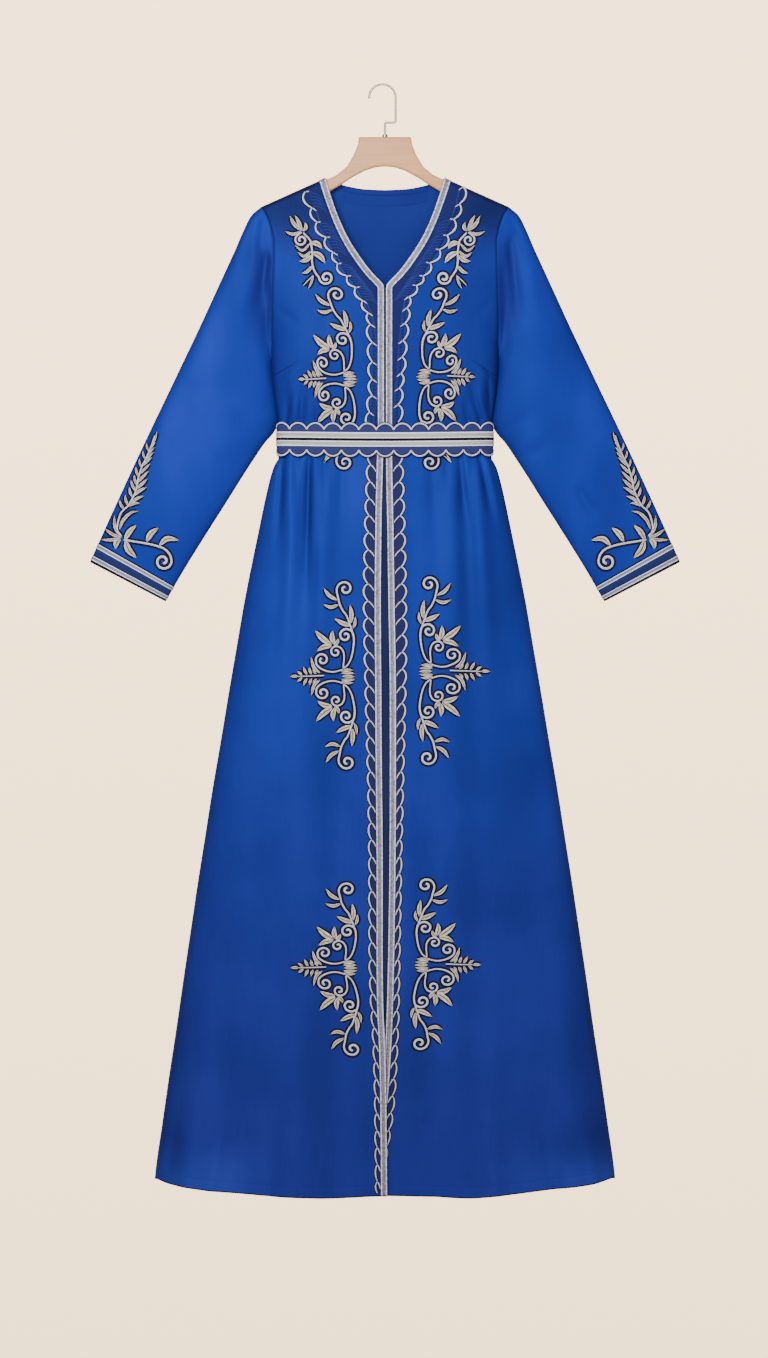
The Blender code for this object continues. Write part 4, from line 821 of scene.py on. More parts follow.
def satin(name, colour, light, rough=0.46, sheen=0.04, inner=0, shoulders=False, hem=False, flat=False, armhole=False):
    made = Tree(name)
    place = made.node("ShaderNodeTexCoord").outputs["Object"]
    broad = made.node("ShaderNodeTexNoise", {"Vector": place, "Scale": 7.0, "Detail": 2.0, "Roughness": 0.5}).outputs[0]
    long_way = made.node("ShaderNodeMapping", {"Vector": place, "Scale": (260.0, 260.0, 34.0)}).outputs[0]
    nap = made.node("ShaderNodeTexNoise", {"Vector": long_way, "Scale": 1.0, "Detail": 2.0, "Roughness": 0.55}).outputs[0]
    bands_way = made.node("ShaderNodeMapping", {"Vector": place, "Scale": (15.0, 15.0, 1.5)}).outputs[0]
    bands = made.node("ShaderNodeTexNoise", {"Vector": bands_way, "Scale": 1.0, "Detail": 1.0, "Roughness": 0.4}).outputs[0]
    mixed = made.math("ADD", made.math("MULTIPLY", broad, 0.40), made.math("MULTIPLY", nap, 0.10))
    mixed = made.math("ADD", mixed, made.math("MULTIPLY", bands, 0.50))
    tint = made.ramp(mixed, [(0.38, tuple(c * 0.80 for c in colour)), (0.5, colour), (0.60, light)])
    # front-to-back part of the normal; it picks the inner face and drives the painted shade below
    turned = made.node("ShaderNodeSeparateXYZ", {0: made.node("ShaderNodeNewGeometry").outputs["Normal"]}).outputs[1]
    facing = made.math("ABSOLUTE", turned)
    # painted shade: the cloth's inner face takes the darker inside colour, standing in for the shade inside the garment
    if inner:
        inside_painted_shade = made.math("GREATER_THAN", made.math("MULTIPLY", turned, float(inner)), 0.05)
        tint = made.node("ShaderNodeMix", {0: inside_painted_shade, 6: tint, 7: (*INSIDE, 1)}, data_type="RGBA").outputs[2]
    # painted shade: darkens and dulls the bodice's satin in a band below the shoulder seams, away from the neck
    if shoulders:
        spot = made.node("ShaderNodeSeparateXYZ", {0: place})
        high = made.node("ShaderNodeMapRange", {0: spot.outputs[2], 1: -0.262, 2: -0.178}, interpolation_type="SMOOTHSTEP").outputs[0]
        wide = made.math("ABSOLUTE", made.math("SUBTRACT", spot.outputs[0], GARMENT_X * MM))
        wide = made.node("ShaderNodeMapRange", {0: wide, 1: 0.040, 2: 0.095}, interpolation_type="SMOOTHSTEP").outputs[0]
        both = made.math("MULTIPLY", high, wide)
        painted_shade = made.ramp(both, [(0.0, grey(1.0)), (0.5, (1.0, 0.70, 0.64)), (1.0, (0.80, 0.44, 0.29))])
        tint = made.node("ShaderNodeMix", {0: 1.0, 6: tint, 7: painted_shade}, data_type="RGBA", blend_type="MULTIPLY").outputs[2]
    # painted shade: darkens the sleeve's satin beside the armhole seam, partway between the shoulder tip and the
    # underarm
    if armhole:
        spot = made.node("ShaderNodeSeparateXYZ", {0: place})
        wide = made.math("ABSOLUTE", made.math("SUBTRACT", spot.outputs[0], GARMENT_X * MM))
        near = made.node("ShaderNodeMapRange", {0: wide, 1: 0.212, 2: 0.178}, interpolation_type="SMOOTHSTEP").outputs[0]
        high = made.node("ShaderNodeMapRange", {0: spot.outputs[2], 1: -0.205, 2: -0.255}, interpolation_type="SMOOTHSTEP").outputs[0]
        low = made.node("ShaderNodeMapRange", {0: spot.outputs[2], 1: -0.400, 2: -0.330}, interpolation_type="SMOOTHSTEP").outputs[0]
        both = made.math("MULTIPLY", made.math("MULTIPLY", near, high), low)
        painted_shade = made.ramp(both, [(0.0, grey(1.0)), (1.0, (0.95, 0.66, 0.66))])
        tint = made.node("ShaderNodeMix", {0: 1.0, 6: tint, 7: painted_shade}, data_type="RGBA", blend_type="MULTIPLY").outputs[2]
    if hem:
        # painted light and shade: the front's satin is a little lighter near the belt and darker, less blue towards the
        # hem, standing in for the light's fall-off
        fall = made.node("ShaderNodeMapRange", {0: made.node("ShaderNodeSeparateXYZ", {0: place}).outputs[2], 1: -0.55, 2: -1.50}).outputs[0]
        cast = made.ramp(fall, [(0.0, (1.06, 1.12, 1.14)), (0.38, (1.06, 1.08, 1.05)), (0.62, (1.16, 0.97, 0.94)), (1.0, (1.30, 0.97, 0.88))])
        tint = made.node("ShaderNodeMix", {0: 1.0, 6: tint, 7: cast}, data_type="RGBA", blend_type="MULTIPLY").outputs[2]
        # painted highlight: a brighter blue band just above the hem towards both corners, patchy with the broad noise
        spot = made.node("ShaderNodeSeparateXYZ", {0: place})
        low = made.node("ShaderNodeMapRange", {0: spot.outputs[2], 1: -1.520, 2: -1.585}, interpolation_type="SMOOTHSTEP").outputs[0]
        wide = made.math("ABSOLUTE", made.math("SUBTRACT", spot.outputs[0], GARMENT_X * MM))
        wide = made.node("ShaderNodeMapRange", {0: wide, 1: 0.12, 2: 0.30}, interpolation_type="SMOOTHSTEP").outputs[0]
        glow = made.math("MULTIPLY", made.math("MULTIPLY", low, wide), made.ramp(broad, [(0.36, grey(0.45)), (0.62, grey(1.0))]))
        tint = made.node("ShaderNodeMix", {0: glow, 6: tint, 7: (0.026, 0.046, 0.330, 1)}, data_type="RGBA").outputs[2]
    # painted shade: the colour darkens where the surface turns sideways, to about half where it faces fully sideways,
    # so sides and folds read darker; flat leaves this out
    depth = made.ramp(facing, [(0.0, grey(0.52)), (0.72, grey(0.60)), (0.93, grey(0.88)), (1.0, grey(1.0))])
    if not flat:
        tint = made.node("ShaderNodeMix", {0: 1.0, 6: tint, 7: depth}, data_type="RGBA", blend_type="MULTIPLY").outputs[2]
    weave = made.node(
        "ShaderNodeTexWave", {"Vector": place, "Scale": 560.0, "Distortion": 1.2, "Detail": 1.0, "Detail Scale": 2.0},
        wave_type="BANDS", bands_direction="DIAGONAL",
    ).outputs["Fac"]
    fibre = made.math("ADD", made.math("MULTIPLY", weave, 0.5), made.math("MULTIPLY", nap, 0.6))
    made.bump(fibre, 0.10, 0.0004)
    made.set(Base_Color=tint, Roughness=made.ramp(nap, [(0.3, grey(rough - 0.04)), (0.7, grey(rough + 0.05))]))
    made.set(Sheen_Weight=sheen, Sheen_Roughness=0.4, Specular_IOR_Level=0.22)
    made.shader.inputs["Sheen Tint"].default_value = (0.10, 0.25, 1.0, 1)
    made.shader.inputs["Specular Tint"].default_value = (0.08, 0.24, 1.0, 1)
    return made.material


def thread(name, edge, middle, dark, twist=1.9, shine=0.25, rough=0.42, soft=0.5, gloss=0.5):
    """Couched cord: u runs along it in mm, v across. It is edge-coloured at its sides."""
    made = Tree(name)
    uv = made.node("ShaderNodeUVMap").outputs[0]
    parts = made.node("ShaderNodeSeparateXYZ", {0: uv})
    across = made.math("ABSOLUTE", made.math("SUBTRACT", parts.outputs[1], 0.5))
    lean = made.math("ADD", made.math("DIVIDE", parts.outputs[0], twist), made.math("MULTIPLY", parts.outputs[1], 1.4))
    strand = made.math("PINGPONG", lean, 0.5)
    strand = made.math("MULTIPLY", strand, 2.0)
    place = made.node("ShaderNodeTexCoord").outputs["Object"]
    speck = made.node("ShaderNodeTexNoise", {"Vector": place, "Scale": 420.0, "Detail": 2.0, "Roughness": 0.6}).outputs[0]
    wide = made.ramp(across, [(0.0, middle), (soft * 0.5, middle), (0.5, edge)])
    light = made.ramp(made.math("ADD", made.math("MULTIPLY", strand, 0.55), made.math("MULTIPLY", speck, 0.6)),
                      [(0.18, grey(dark)), (0.62, grey(1.0)), (0.92, grey(1.1))])
    colour = made.node("ShaderNodeMix", {0: 1.0, 6: wide, 7: light}, data_type="RGBA", blend_type="MULTIPLY").outputs[2]
    made.bump(strand, 0.5, 0.0005)
    made.set(Base_Color=colour, Roughness=rough, Metallic=shine, Specular_IOR_Level=gloss)
    return made.material


def leaf_thread(name, edge, middle, vein, dark):
    """Padded leaf: silver cord round it, gold satin stitch inside, a dark vein."""
    made = Tree(name)
    uv = made.node("ShaderNodeUVMap").outputs[0]
    parts = made.node("ShaderNodeSeparateXYZ", {0: uv})
    across = made.math("ABSOLUTE", made.math("SUBTRACT", parts.outputs[1], 0.5))
    lean = made.math("ADD", made.math("DIVIDE", parts.outputs[0], 1.3), made.math("MULTIPLY", across, 2.4))
    strand = made.math("MULTIPLY", made.math("PINGPONG", lean, 0.5), 2.0)
    place = made.node("ShaderNodeTexCoord").outputs["Object"]
    speck = made.node("ShaderNodeTexNoise", {"Vector": place, "Scale": 330.0, "Detail": 2.0, "Roughness": 0.65}).outputs[0]
    wide = made.ramp(across, [(0.0, vein), (0.075, vein), (0.115, middle), (0.25, middle), (0.29, tuple(c * 0.35 for c in middle)),
                              (0.32, tuple(c * 0.35 for c in middle)), (0.36, edge), (0.5, edge)])
    light = made.ramp(made.math("ADD", made.math("MULTIPLY", strand, 0.32), made.math("MULTIPLY", speck, 1.0)),
                      [(0.47, grey(dark)), (0.66, grey(1.0)), (0.88, grey(1.2))])
    colour = made.node("ShaderNodeMix", {0: 1.0, 6: wide, 7: light}, data_type="RGBA", blend_type="MULTIPLY").outputs[2]
    made.bump(strand, 0.45, 0.0005)
    made.set(Base_Color=colour, Roughness=0.45, Metallic=0.2, Specular_IOR_Level=0.5)
    return made.material


def braid_finish(name, edge, middle, line, mottled=False):
    """Woven braid: a silver rope along each edge, a gold-grey plait between."""
    made = Tree(name)
    uv = made.node("ShaderNodeUVMap").outputs[0]
    parts = made.node("ShaderNodeSeparateXYZ", {0: uv})
    across = made.math("ABSOLUTE", made.math("SUBTRACT", parts.outputs[1], 0.5))
    lean = made.math("ADD", made.math("DIVIDE", parts.outputs[0], 2.3), made.math("MULTIPLY", across, -2.2))
    plait = made.math("MULTIPLY", made.math("PINGPONG", lean, 0.5), 2.0)
    place = made.node("ShaderNodeTexCoord").outputs["Object"]
    speck = made.node("ShaderNodeTexNoise", {"Vector": place, "Scale": 300.0, "Detail": 2.0, "Roughness": 0.6}).outputs[0]
    wide = made.ramp(across, [(0.0, middle), (0.19, middle), (0.235, line), (0.28, edge), (0.46, edge), (0.5, line)])
    if mottled:
        light = made.ramp(made.math("ADD", made.math("MULTIPLY", plait, 0.25), made.math("MULTIPLY", speck, 1.05)),
                          [(0.46, grey(0.34)), (0.64, grey(0.98)), (0.85, grey(1.15))])
    else:
        light = made.ramp(made.math("ADD", made.math("MULTIPLY", plait, 0.6), made.math("MULTIPLY", speck, 0.6)),
                          [(0.2, grey(0.66)), (0.66, grey(1.0)), (0.95, grey(1.1))])
    colour = made.node("ShaderNodeMix", {0: 1.0, 6: wide, 7: light}, data_type="RGBA", blend_type="MULTIPLY").outputs[2]
    made.bump(plait, 0.5, 0.0005)
    made.set(Base_Color=colour, Roughness=0.45, Metallic=0.2, Specular_IOR_Level=0.5)
    return made.material


def ground_finish(name, colour, line):
    """Dark ground under the scallops, sewn with fine slanting lines."""
    made = Tree(name)
    uv = made.node("ShaderNodeUVMap").outputs[0]
    parts = made.node("ShaderNodeSeparateXYZ", {0: uv})
    lean = made.math("ADD", made.math("DIVIDE", parts.outputs[0], 2.6), made.math("MULTIPLY", parts.outputs[1], 2.6))
    sewn = made.math("MULTIPLY", made.math("PINGPONG", lean, 0.5), 2.0)
    tint = made.ramp(sewn, [(0.0, line), (0.3, colour), (1.0, colour)])
    made.bump(sewn, 0.4, 0.0004)
    made.set(Base_Color=tint, Roughness=0.7, Specular_IOR_Level=0.06)
    return made.material


def mesh_finish(name, colour, line):
    """The belt's ground: a fine net over navy satin."""
    made = Tree(name)
    place = made.node("ShaderNodeTexCoord").outputs["Object"]
    parts = made.node("ShaderNodeSeparateXYZ", {0: place})
    one = made.math("PINGPONG", made.math("MULTIPLY", made.math("ADD", parts.outputs[0], parts.outputs[2]), 430.0), 0.5)
    two = made.math("PINGPONG", made.math("MULTIPLY", made.math("SUBTRACT", parts.outputs[0], parts.outputs[2]), 430.0), 0.5)
    net = made.math("MULTIPLY", made.math("MINIMUM", one, two), 2.0)
    tint = made.ramp(net, [(0.0, line), (0.28, colour), (1.0, colour)])
    made.bump(net, 0.4, 0.0004)
    made.set(Base_Color=tint, Roughness=0.6, Specular_IOR_Level=0.10)
    return made.material


def wood_finish(name):
    made = Tree(name)
    place = made.node("ShaderNodeTexCoord").outputs["Object"]
    grain_way = made.node("ShaderNodeMapping", {"Vector": place, "Scale": (9.0, 120.0, 150.0)}).outputs[0]
    grain = made.node("ShaderNodeTexNoise", {"Vector": grain_way, "Scale": 1.0, "Detail": 5.0, "Roughness": 0.6, "Distortion": 0.4}).outputs[0]
    flecks_way = made.node("ShaderNodeMapping", {"Vector": place, "Scale": (90.0, 700.0, 900.0)}).outputs[0]
    flecks = made.node("ShaderNodeTexNoise", {"Vector": flecks_way, "Scale": 1.0, "Detail": 2.0}).outputs[0]
    both = made.math("ADD", made.math("MULTIPLY", grain, 0.75), made.math("MULTIPLY", flecks, 0.25))
    tint = made.ramp(both, [(0.34, WOOD_DARK), (0.5, WOOD), (0.66, WOOD_LIGHT)])
    made.bump(both, 0.12, 0.0006)
    made.set(Base_Color=tint, Roughness=0.42, Specular_IOR_Level=0.4, Coat_Weight=0.12, Coat_Roughness=0.3)
    return made.material


def steel_finish(name):
    made = Tree(name)
    place = made.node("ShaderNodeTexCoord").outputs["Object"]
    fine = made.node("ShaderNodeTexNoise", {"Vector": place, "Scale": 900.0, "Detail": 2.0}).outputs[0]
    made.set(Base_Color=(0.30, 0.29, 0.28, 1), Metallic=1.0,
             Roughness=made.ramp(fine, [(0.3, grey(0.24)), (0.7, grey(0.34))]))
    return made.material


SATIN = (0.0120, 0.0220, 0.215)
SATIN_LIGHT = (0.0145, 0.0260, 0.250)
# the same satin painted lighter for the sleeves: painted light
SLEEVE = (0.0128, 0.0238, 0.248)
SLEEVE_LIGHT = (0.0152, 0.0285, 0.290)
# the satin painted darker for the garment's inside and the neck facing: painted shade
INSIDE = (0.0115, 0.0168, 0.148)
INSIDE_LIGHT = (0.0118, 0.0172, 0.152)
# dark colour of the edging: partly dark couching, partly painted shadow
NAVY_AND_SHADOW = (0.0085, 0.0072, 0.0200)
DARK = (0.0080, 0.0072, 0.016)
# the underlap's blue satin painted dark for the shade it lies in behind the centre edges: painted shade
PLACKET = (0.0150, 0.0170, 0.056)
GROUND = (0.0150, 0.0185, 0.090)
GROUND_LINE = (0.0140, 0.0135, 0.046)
NECK_GROUND = (0.0110, 0.0145, 0.096)
NECK_LINE = (0.0090, 0.0120, 0.070)
NET = (0.0170, 0.0210, 0.110)
NET_LINE = (0.034, 0.039, 0.150)
SILVER = (0.74, 0.78, 0.98)
SILVER_MIDDLE = (0.56, 0.55, 0.64)
GOLD = (0.74, 0.56, 0.30)
VEIN = (0.045, 0.034, 0.028)
BRAID_EDGE = (0.60, 0.61, 0.84)
BRAID_MIDDLE = (0.20, 0.185, 0.205)
BRAID_LINE = (0.055, 0.05, 0.07)
BELT_EDGE = (0.84, 0.82, 0.84)
BELT_MIDDLE = (0.36, 0.35, 0.35)
WOOD = (0.66, 0.31, 0.118)
WOOD_DARK = (0.59, 0.26, 0.092)
WOOD_LIGHT = (0.71, 0.35, 0.142)

FINISH = {
    "satin": satin("royal_blue_satin", SATIN, SATIN_LIGHT),
    "front": satin("royal_blue_satin_front", SATIN, SATIN_LIGHT, inner=1, hem=True),
    # bodice fronts, with painted shade along the shoulders
    "shoulders": satin("royal_blue_satin_bodice", SATIN, SATIN_LIGHT, inner=1, shoulders=True),
    # sleeves: the lighter sleeve colour is painted light, and the shade beside the armhole seam is painted shade
    "sleeve": satin("royal_blue_satin_sleeve", SLEEVE, SLEEVE_LIGHT, armhole=True),
    "back": satin("royal_blue_satin_back", SATIN, SATIN_LIGHT, inner=-1),
    "inside": satin("inner_blue_satin", INSIDE, INSIDE_LIGHT, rough=0.55, sheen=0.02, flat=True),
    "cord": thread("silver_cord", SILVER, SILVER_MIDDLE, 0.74),
    "leaf": leaf_thread("gold_leaf_stitch", SILVER, GOLD, VEIN, 0.46),
    # edging under cords, leaves and along the hem: partly dark couching, partly painted shadow
    "edging": thread("navy_edging", (0.0100, 0.0130, 0.066), NAVY_AND_SHADOW, 0.7, soft=0.72, shine=0.0, rough=0.8, gloss=0.05),
    "feather": thread("blue_feather_stitch", (0.0180, 0.0330, 0.220), (0.0260, 0.0480, 0.290), 0.8, shine=0.0, rough=0.7, gloss=0.05),
    # the belt's black line between its braids, and painted shadow at the cuffs
    "dark": thread("black_line", DARK, DARK, 0.7, shine=0.0, rough=0.8, gloss=0.05),
    "placket": satin("navy_placket", PLACKET, tuple(c * 1.2 for c in PLACKET), rough=0.6, sheen=0.0),
    "neck_ground": ground_finish("sewn_neck_ground", NECK_GROUND, NECK_LINE),
    "braid": braid_finish("silver_gold_braid", BRAID_EDGE, BRAID_MIDDLE, BRAID_LINE, mottled=True),
    "belt_braid": braid_finish("cream_belt_braid", BELT_EDGE, BELT_MIDDLE, BRAID_LINE),
    "ground": ground_finish("sewn_navy_ground", GROUND, GROUND_LINE),
    "cuff_braid": braid_finish("silver_cuff_braid", (0.68, 0.72, 0.93), (0.17, 0.17, 0.22), (0.07, 0.07, 0.10)),
    "cuff_ground": ground_finish("sewn_cuff_ground", (0.0145, 0.0225, 0.108), (0.0125, 0.0160, 0.065)),
    "net": mesh_finish("belt_net", NET, NET_LINE),
    "wood": wood_finish("pale_beech"),
    "steel": steel_finish("plain_steel"),
}


# ---------------------------------------------------------------- looks: meshes
def world(points):
    return (np.asarray(points, float) + np.array([GARMENT_X, 0.0, 0.0])) * MM


def mesh_object(name, points, quads, finish, uv=None):
    data = bpy.data.meshes.new(name)
    data.vertices.add(len(points))
    data.vertices.foreach_set("co", world(points).astype(np.float32).ravel())
    data.loops.add(quads.size)
    data.loops.foreach_set("vertex_index", quads.astype(np.int32).ravel())
    data.polygons.add(len(quads))
    data.polygons.foreach_set("loop_start", np.arange(0, quads.size, 4, dtype=np.int32))
    data.update(calc_edges=True)
    if uv is not None:
        layer = data.uv_layers.new(name="UVMap")
        layer.data.foreach_set("uv", uv[quads.ravel()].astype(np.float32).ravel())
    data.shade_smooth()
    data.materials.append(FINISH[finish])
    made = bpy.data.objects.new(name, data)
    bpy.context.scene.collection.objects.link(made)
    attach(made, "root")
    return made


def grid_quads(rows, columns, closed=False):
    i = np.arange(columns if closed else columns - 1)
    j = np.arange(rows - 1)
    i, j = np.meshgrid(i, j)
    after = (i + 1) % columns
    return np.stack([j * columns + i, j * columns + after, (j + 1) * columns + after, (j + 1) * columns + i], -1).reshape(-1, 4)


def cloth(name, points, nodes, finish="satin", closed=False, thickness=SHELL):
    """A sheet of cloth from a grid of points, thickened to both sides."""
    rows, columns = points.shape[:2]
    made = mesh_object(name, points.reshape(-1, 3), grid_quads(rows, columns, closed), finish)
    shell = made.modifiers.new("thickness", "SOLIDIFY")
    shell.thickness = thickness * MM
    shell.offset = 0.0
    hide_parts(*nodes)
    return made


HALF_ROUND = [(-math.cos(a), math.sin(a)) for a in np.linspace(0, math.pi, 6)]
RIBBON = [(-1.0, 0.0), (-0.9, 1.0), (0.9, 1.0), (1.0, 0.0)]
LEAF = [(-1.0, 0.0), (-0.92, 0.75), (-0.76, 1.0), (-0.56, 0.70), (-0.24, 0.80), (0.0, 0.55), (0.24, 0.80), (0.56, 0.70),
        (0.76, 1.0), (0.92, 0.75), (1.0, 0.0)]
BRAID_SECTION = [(-1.0, 0.0), (-0.97, 0.75), (-0.80, 1.0), (-0.58, 0.72), (-0.3, 0.66), (0.0, 0.58), (0.3, 0.66),
                 (0.58, 0.72), (0.80, 1.0), (0.97, 0.75), (1.0, 0.0)]


class Stitching:
    """Cords, leaves and bands laid on a surface, kept in one joined mesh. The surface gives points for x or
    place, z and lift."""

    def __init__(self, surface):
        self.surface = surface
        self.plans, self.lifts, self.faces, self.uvs, self.count = [], [], [], [], 0

    def grid(self, plan, lift, u, v):
        rows, columns = plan.shape[:2]
        self.plans.append(plan.reshape(-1, 2))
        self.lifts.append(np.broadcast_to(lift, (rows, columns)).ravel())
        self.faces.append(grid_quads(rows, columns, closed=columns > 2) + self.count)
        uv = np.stack(np.broadcast_arrays(np.asarray(u)[:, None], np.asarray(v)[None, :]), -1)
        self.uvs.append(uv.reshape(-1, 2))
        self.count += rows * columns

    def lay(self, path, half, section, height, base):
        """A strip along a path: half is its half width at each point."""
        path = np.asarray(path, float)
        run = np.gradient(path, axis=0)
        run /= np.maximum(np.linalg.norm(run, axis=1, keepdims=True), 1e-9)
        side = np.stack([-run[:, 1], run[:, 0]], -1)
        section = np.asarray(section)
        half = np.broadcast_to(np.asarray(half, float), (len(path),))
        plan = path[:, None] + side[:, None] * (half[:, None] * section[:, 0])[..., None]
        length = np.concatenate([[0], np.cumsum(np.hypot(*np.diff(path, axis=0).T))])
        size = np.minimum(1.0, half / max(half.max(), 1e-6) * 1.6) ** 0.7
        lift = base + section[None, :, 1] * (np.asarray(height) * size)[:, None]
        self.grid(plan, lift, length, (section[:, 0] + 1) / 2)

    def build(self, name, finish, nodes=()):
        if not self.plans:
            return None
        plan, lift = np.concatenate(self.plans), np.concatenate(self.lifts)
        points = self.surface(plan[:, 0], plan[:, 1], lift)
        made = mesh_object(name, points, np.concatenate(self.faces), finish, np.concatenate(self.uvs))
        if nodes:
            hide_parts(*nodes)
        return made


def resample(path, step):
    path = np.asarray(path, float)
    length = np.concatenate([[0], np.cumsum(np.hypot(*np.diff(path, axis=0).T))])
    count = max(4, int(round(length[-1] / step)) + 1)
    at = np.linspace(0, length[-1], count)
    return np.stack([np.interp(at, length, path[:, k]) for k in (0, 1)], -1)


def smooth(points):
    """A smooth line through points."""
    p = np.asarray(points, float)
    if len(p) < 3:
        return np.linspace(p[0], p[-1], 9)
    ends = np.vstack([2 * p[0] - p[1], p, 2 * p[-1] - p[-2]])
    t = np.linspace(0, 1, 13)[:-1, None]
    parts = []
    for a, b, c, d in zip(ends, ends[1:], ends[2:], ends[3:]):
        parts.append(0.5 * (2 * b + (c - a) * t + (2 * a - 5 * b + 4 * c - d) * t**2 + (3 * b - a - 3 * c + d) * t**3))
    return np.vstack([*parts, p[-1:]])


def curl(path, centre, radius, turns, way):
    """Winds a line's end into a spiral round a centre; way is 1 for anticlockwise."""
    path, centre = smooth(path), np.asarray(centre, float)
    arm = path[-1] - centre
    reach, angle = np.hypot(*arm), math.atan2(arm[1], arm[0])
    t = np.linspace(0, turns, int(turns * 30))[1:]
    r = (radius + (reach - radius) * np.exp(-6 * t)) * (1 - 0.82 * (t / turns) ** 1.1)
    a = angle + way * 2 * math.pi * t
    return np.vstack([path, centre + np.stack([r * np.cos(a), r * np.sin(a)], -1)])


class Embroidery:
    """The three layers of one panel's scrollwork: cords, leaves and the dark edging under both, which is partly dark
    couching and partly painted shadow round the raised stitches.
    """

    def __init__(self, surface):
        self.cords, self.leaves, self.edging = (Stitching(surface) for _ in range(3))
        self.feathers = Stitching(surface)
        self.made = []

    def cord(self, path, start, middle, end, height=1.15, edge=OUTLINE):
        """path in mm, already smooth; widths in mm."""
        path = resample(path, 1.3)
        t = np.linspace(0, 1, len(path))
        half = np.interp(t, [0, 0.55, 1], [start, middle, end]) / 2
        length = np.hypot(*np.diff(path, axis=0).T).sum()
        away = np.minimum(t, 1 - t) * length
        tip = np.sqrt(np.clip(away / (0.6 * half), 0.0, 1) * (2 - np.clip(away / (0.6 * half), 0.0, 1)))
        self.cords.lay(path, half * np.maximum(tip, 0.04), HALF_ROUND, height, FACE - 0.12)
        self.edging.lay(path, half + edge * np.maximum(tip, 0.1), RIBBON, 0.32, FACE - 0.12)

    def leaf(self, path, width, height=1.25, edge=OUTLINE):
        path = resample(smooth(path), 1.2)
        t = np.linspace(0, 1, len(path))
        half = width / 2 * np.sin(math.pi * np.clip(t, 0.0, 1.0) ** 0.82) ** 0.72
        half = np.maximum(half, width * np.interp(t, [0, 0.06, 0.94, 1], [0.12, 0.14, 0.05, 0.02]))
        self.leaves.lay(path, half, LEAF, height, FACE - 0.1)
        self.edging.lay(path, half + edge * np.clip(np.minimum(t, 1 - t) * 12, 0.15, 1), RIBBON, 0.32, FACE - 0.12)

    def build(self, name):
        for label, layer, finish in (("edging", self.edging, "edging"), ("feathers", self.feathers, "feather"),
                                     ("cords", self.cords, "cord"), ("leaves", self.leaves, "leaf")):
            made = layer.build(name + "_" + label, finish)
            if made:
                self.made.append(made)
        return self.made


# ---------------------------------------------------------------- looks: the embroidery's charts
# Charts are in units of UNIT; X runs towards the centre front, Y up. Leaf rows: points, width in mm. Cord
# rows: points, width in mm at the start, the middle and the end, then the spiral it ends in, if any: centre,
# radius, turns, way.
HALF_SCROLL_CORDS = (
    (((-1.7, 7.7), (3.2, 11.9), (6.7, 19.6), (8.6, 29.5), (9, 37.9), (7.2, 44.6), (3.2, 47.0)), (2.2, 3.2, 3.6),
     ((0.7, 40.5), 6.3, 1.25, 1)),
    (((7.5, 44.0), (6.5, 47.7), (1.8, 60.3), (-1.7, 65.2), (-5.2, 72.3), (-7.2, 81)), (2.6, 3.0, 3.8),
     ((0.4, 87.3), 7.7, 1.4, -1)),
    (((-1.5, 7.5), (-3.8, 6.3), (-10.8, 4.6), (-17.8, 5.3), (-24.1, 8.1), (-28.0, 11.9), (-28.8, 16.6)), (2.2, 3.0, 3.4),
     ((-22.3, 16.6), 6.4, 1.25, -1)),
    (((-1.5, 8), (-1.3, 11.9), (-0.7, 18.2), (-1.3, 23.9), (-3.8, 28.2), (-7.4, 30.0)), (2.2, 2.8, 3.4),
     ((-9.0, 24.4), 5.4, 1.2, 1)),
)
HALF_SCROLL_LEAVES = (
    (((-7.7, 76), (-15.5, 80.5), (-20.9, 88)), 5.4),
    (((-6.3, 71.3), (-14, 68.9), (-21.3, 71.6)), 5.0),
    (((6.3, 53.3), (6.6, 62), (5.3, 71.3)), 6.4),
    (((6.3, 50.5), (-2, 53), (-10.1, 57.5)), 6.6),
    (((8.1, 47.7), (10.2, 53), (10.5, 59.6)), 4.2),
    (((-13.4, 31.6), (-22, 37.6), (-29.3, 45.6)), 8.4),
    (((-10.8, 32.3), (-12.6, 39), (-12.2, 45.6)), 7.4),
    (((-13.6, 30.2), (-21, 29.2), (-27.6, 25.3)), 7.0),
    (((-10.8, 30.9), (-7.6, 34), (-6.3, 37.9)), 5.4),
    (((-42.4, 1.1), (-44.6, 3.2), (-47.3, 5.2)), 3.6),
    (((-37.5, 1.7), (-39.6, 5.6), (-41.4, 9.5)), 4.0),
    (((-33.0, 2.1), (-34.6, 5.6), (-35.4, 9.1)), 4.0),
    (((-24.8, 3.5), (-30.6, 9.2), (-33.7, 19.4)), 4.6),
    (((-28.2, 2.4), (-30.4, 5.0), (-31.4, 8.0)), 3.2),
    (((-3.1, 4.9), (3, 6.6), (8.6, 6.3)), 3.9),
    (((-3.1, 3.2), (3.6, 3.6), (10, 2.9)), 4.3),
)
SCROLL_MIDDLE_CORDS = ((((-20, 1), (-34, 0.4), (-47, 0)), (2.2, 2.0, 1.6), None),)
SCROLL_MIDDLE_LEAVES = (
    (((-46.6, 0.2), (-50.5, 0.3), (-54.3, 0)), 4.4),
    (((-2.4, 0.1), (4, 0.2), (10.5, -0.2)), 4.2),
)
# where each scroll stands: name, panel, x and z of its middle, height of the upper and lower half, lean at
# the top and at the foot, width of its outer part
SCROLLS = (
    ("chest_left", "bodice", -1, -55.1, -427.8, 0.963, 0.945, -10.5, -2.4, 0.83),
    ("chest_right", "bodice", 1, 60.2, -424.1, 0.935, 0.974, -11.8, -3.9, 0.83),
    ("middle_left", "skirt_left", -1, -58.0, -857.0, 1.0, 0.974, 0.0, 2.0, 1.0),
    ("middle_right", "skirt_right", 1, 64.1, -849.7, 0.995, 0.98, 0.0, 1.6, 1.18),
    ("low_left", "skirt_left", -1, -55.1, -1276.7, 0.892, 0.919, 0.2, 5.5, 1.04),
    ("low_right", "skirt_right", 1, 58.0, -1272.4, 0.904, 0.891, -0.9, 5.1, 1.03),
)
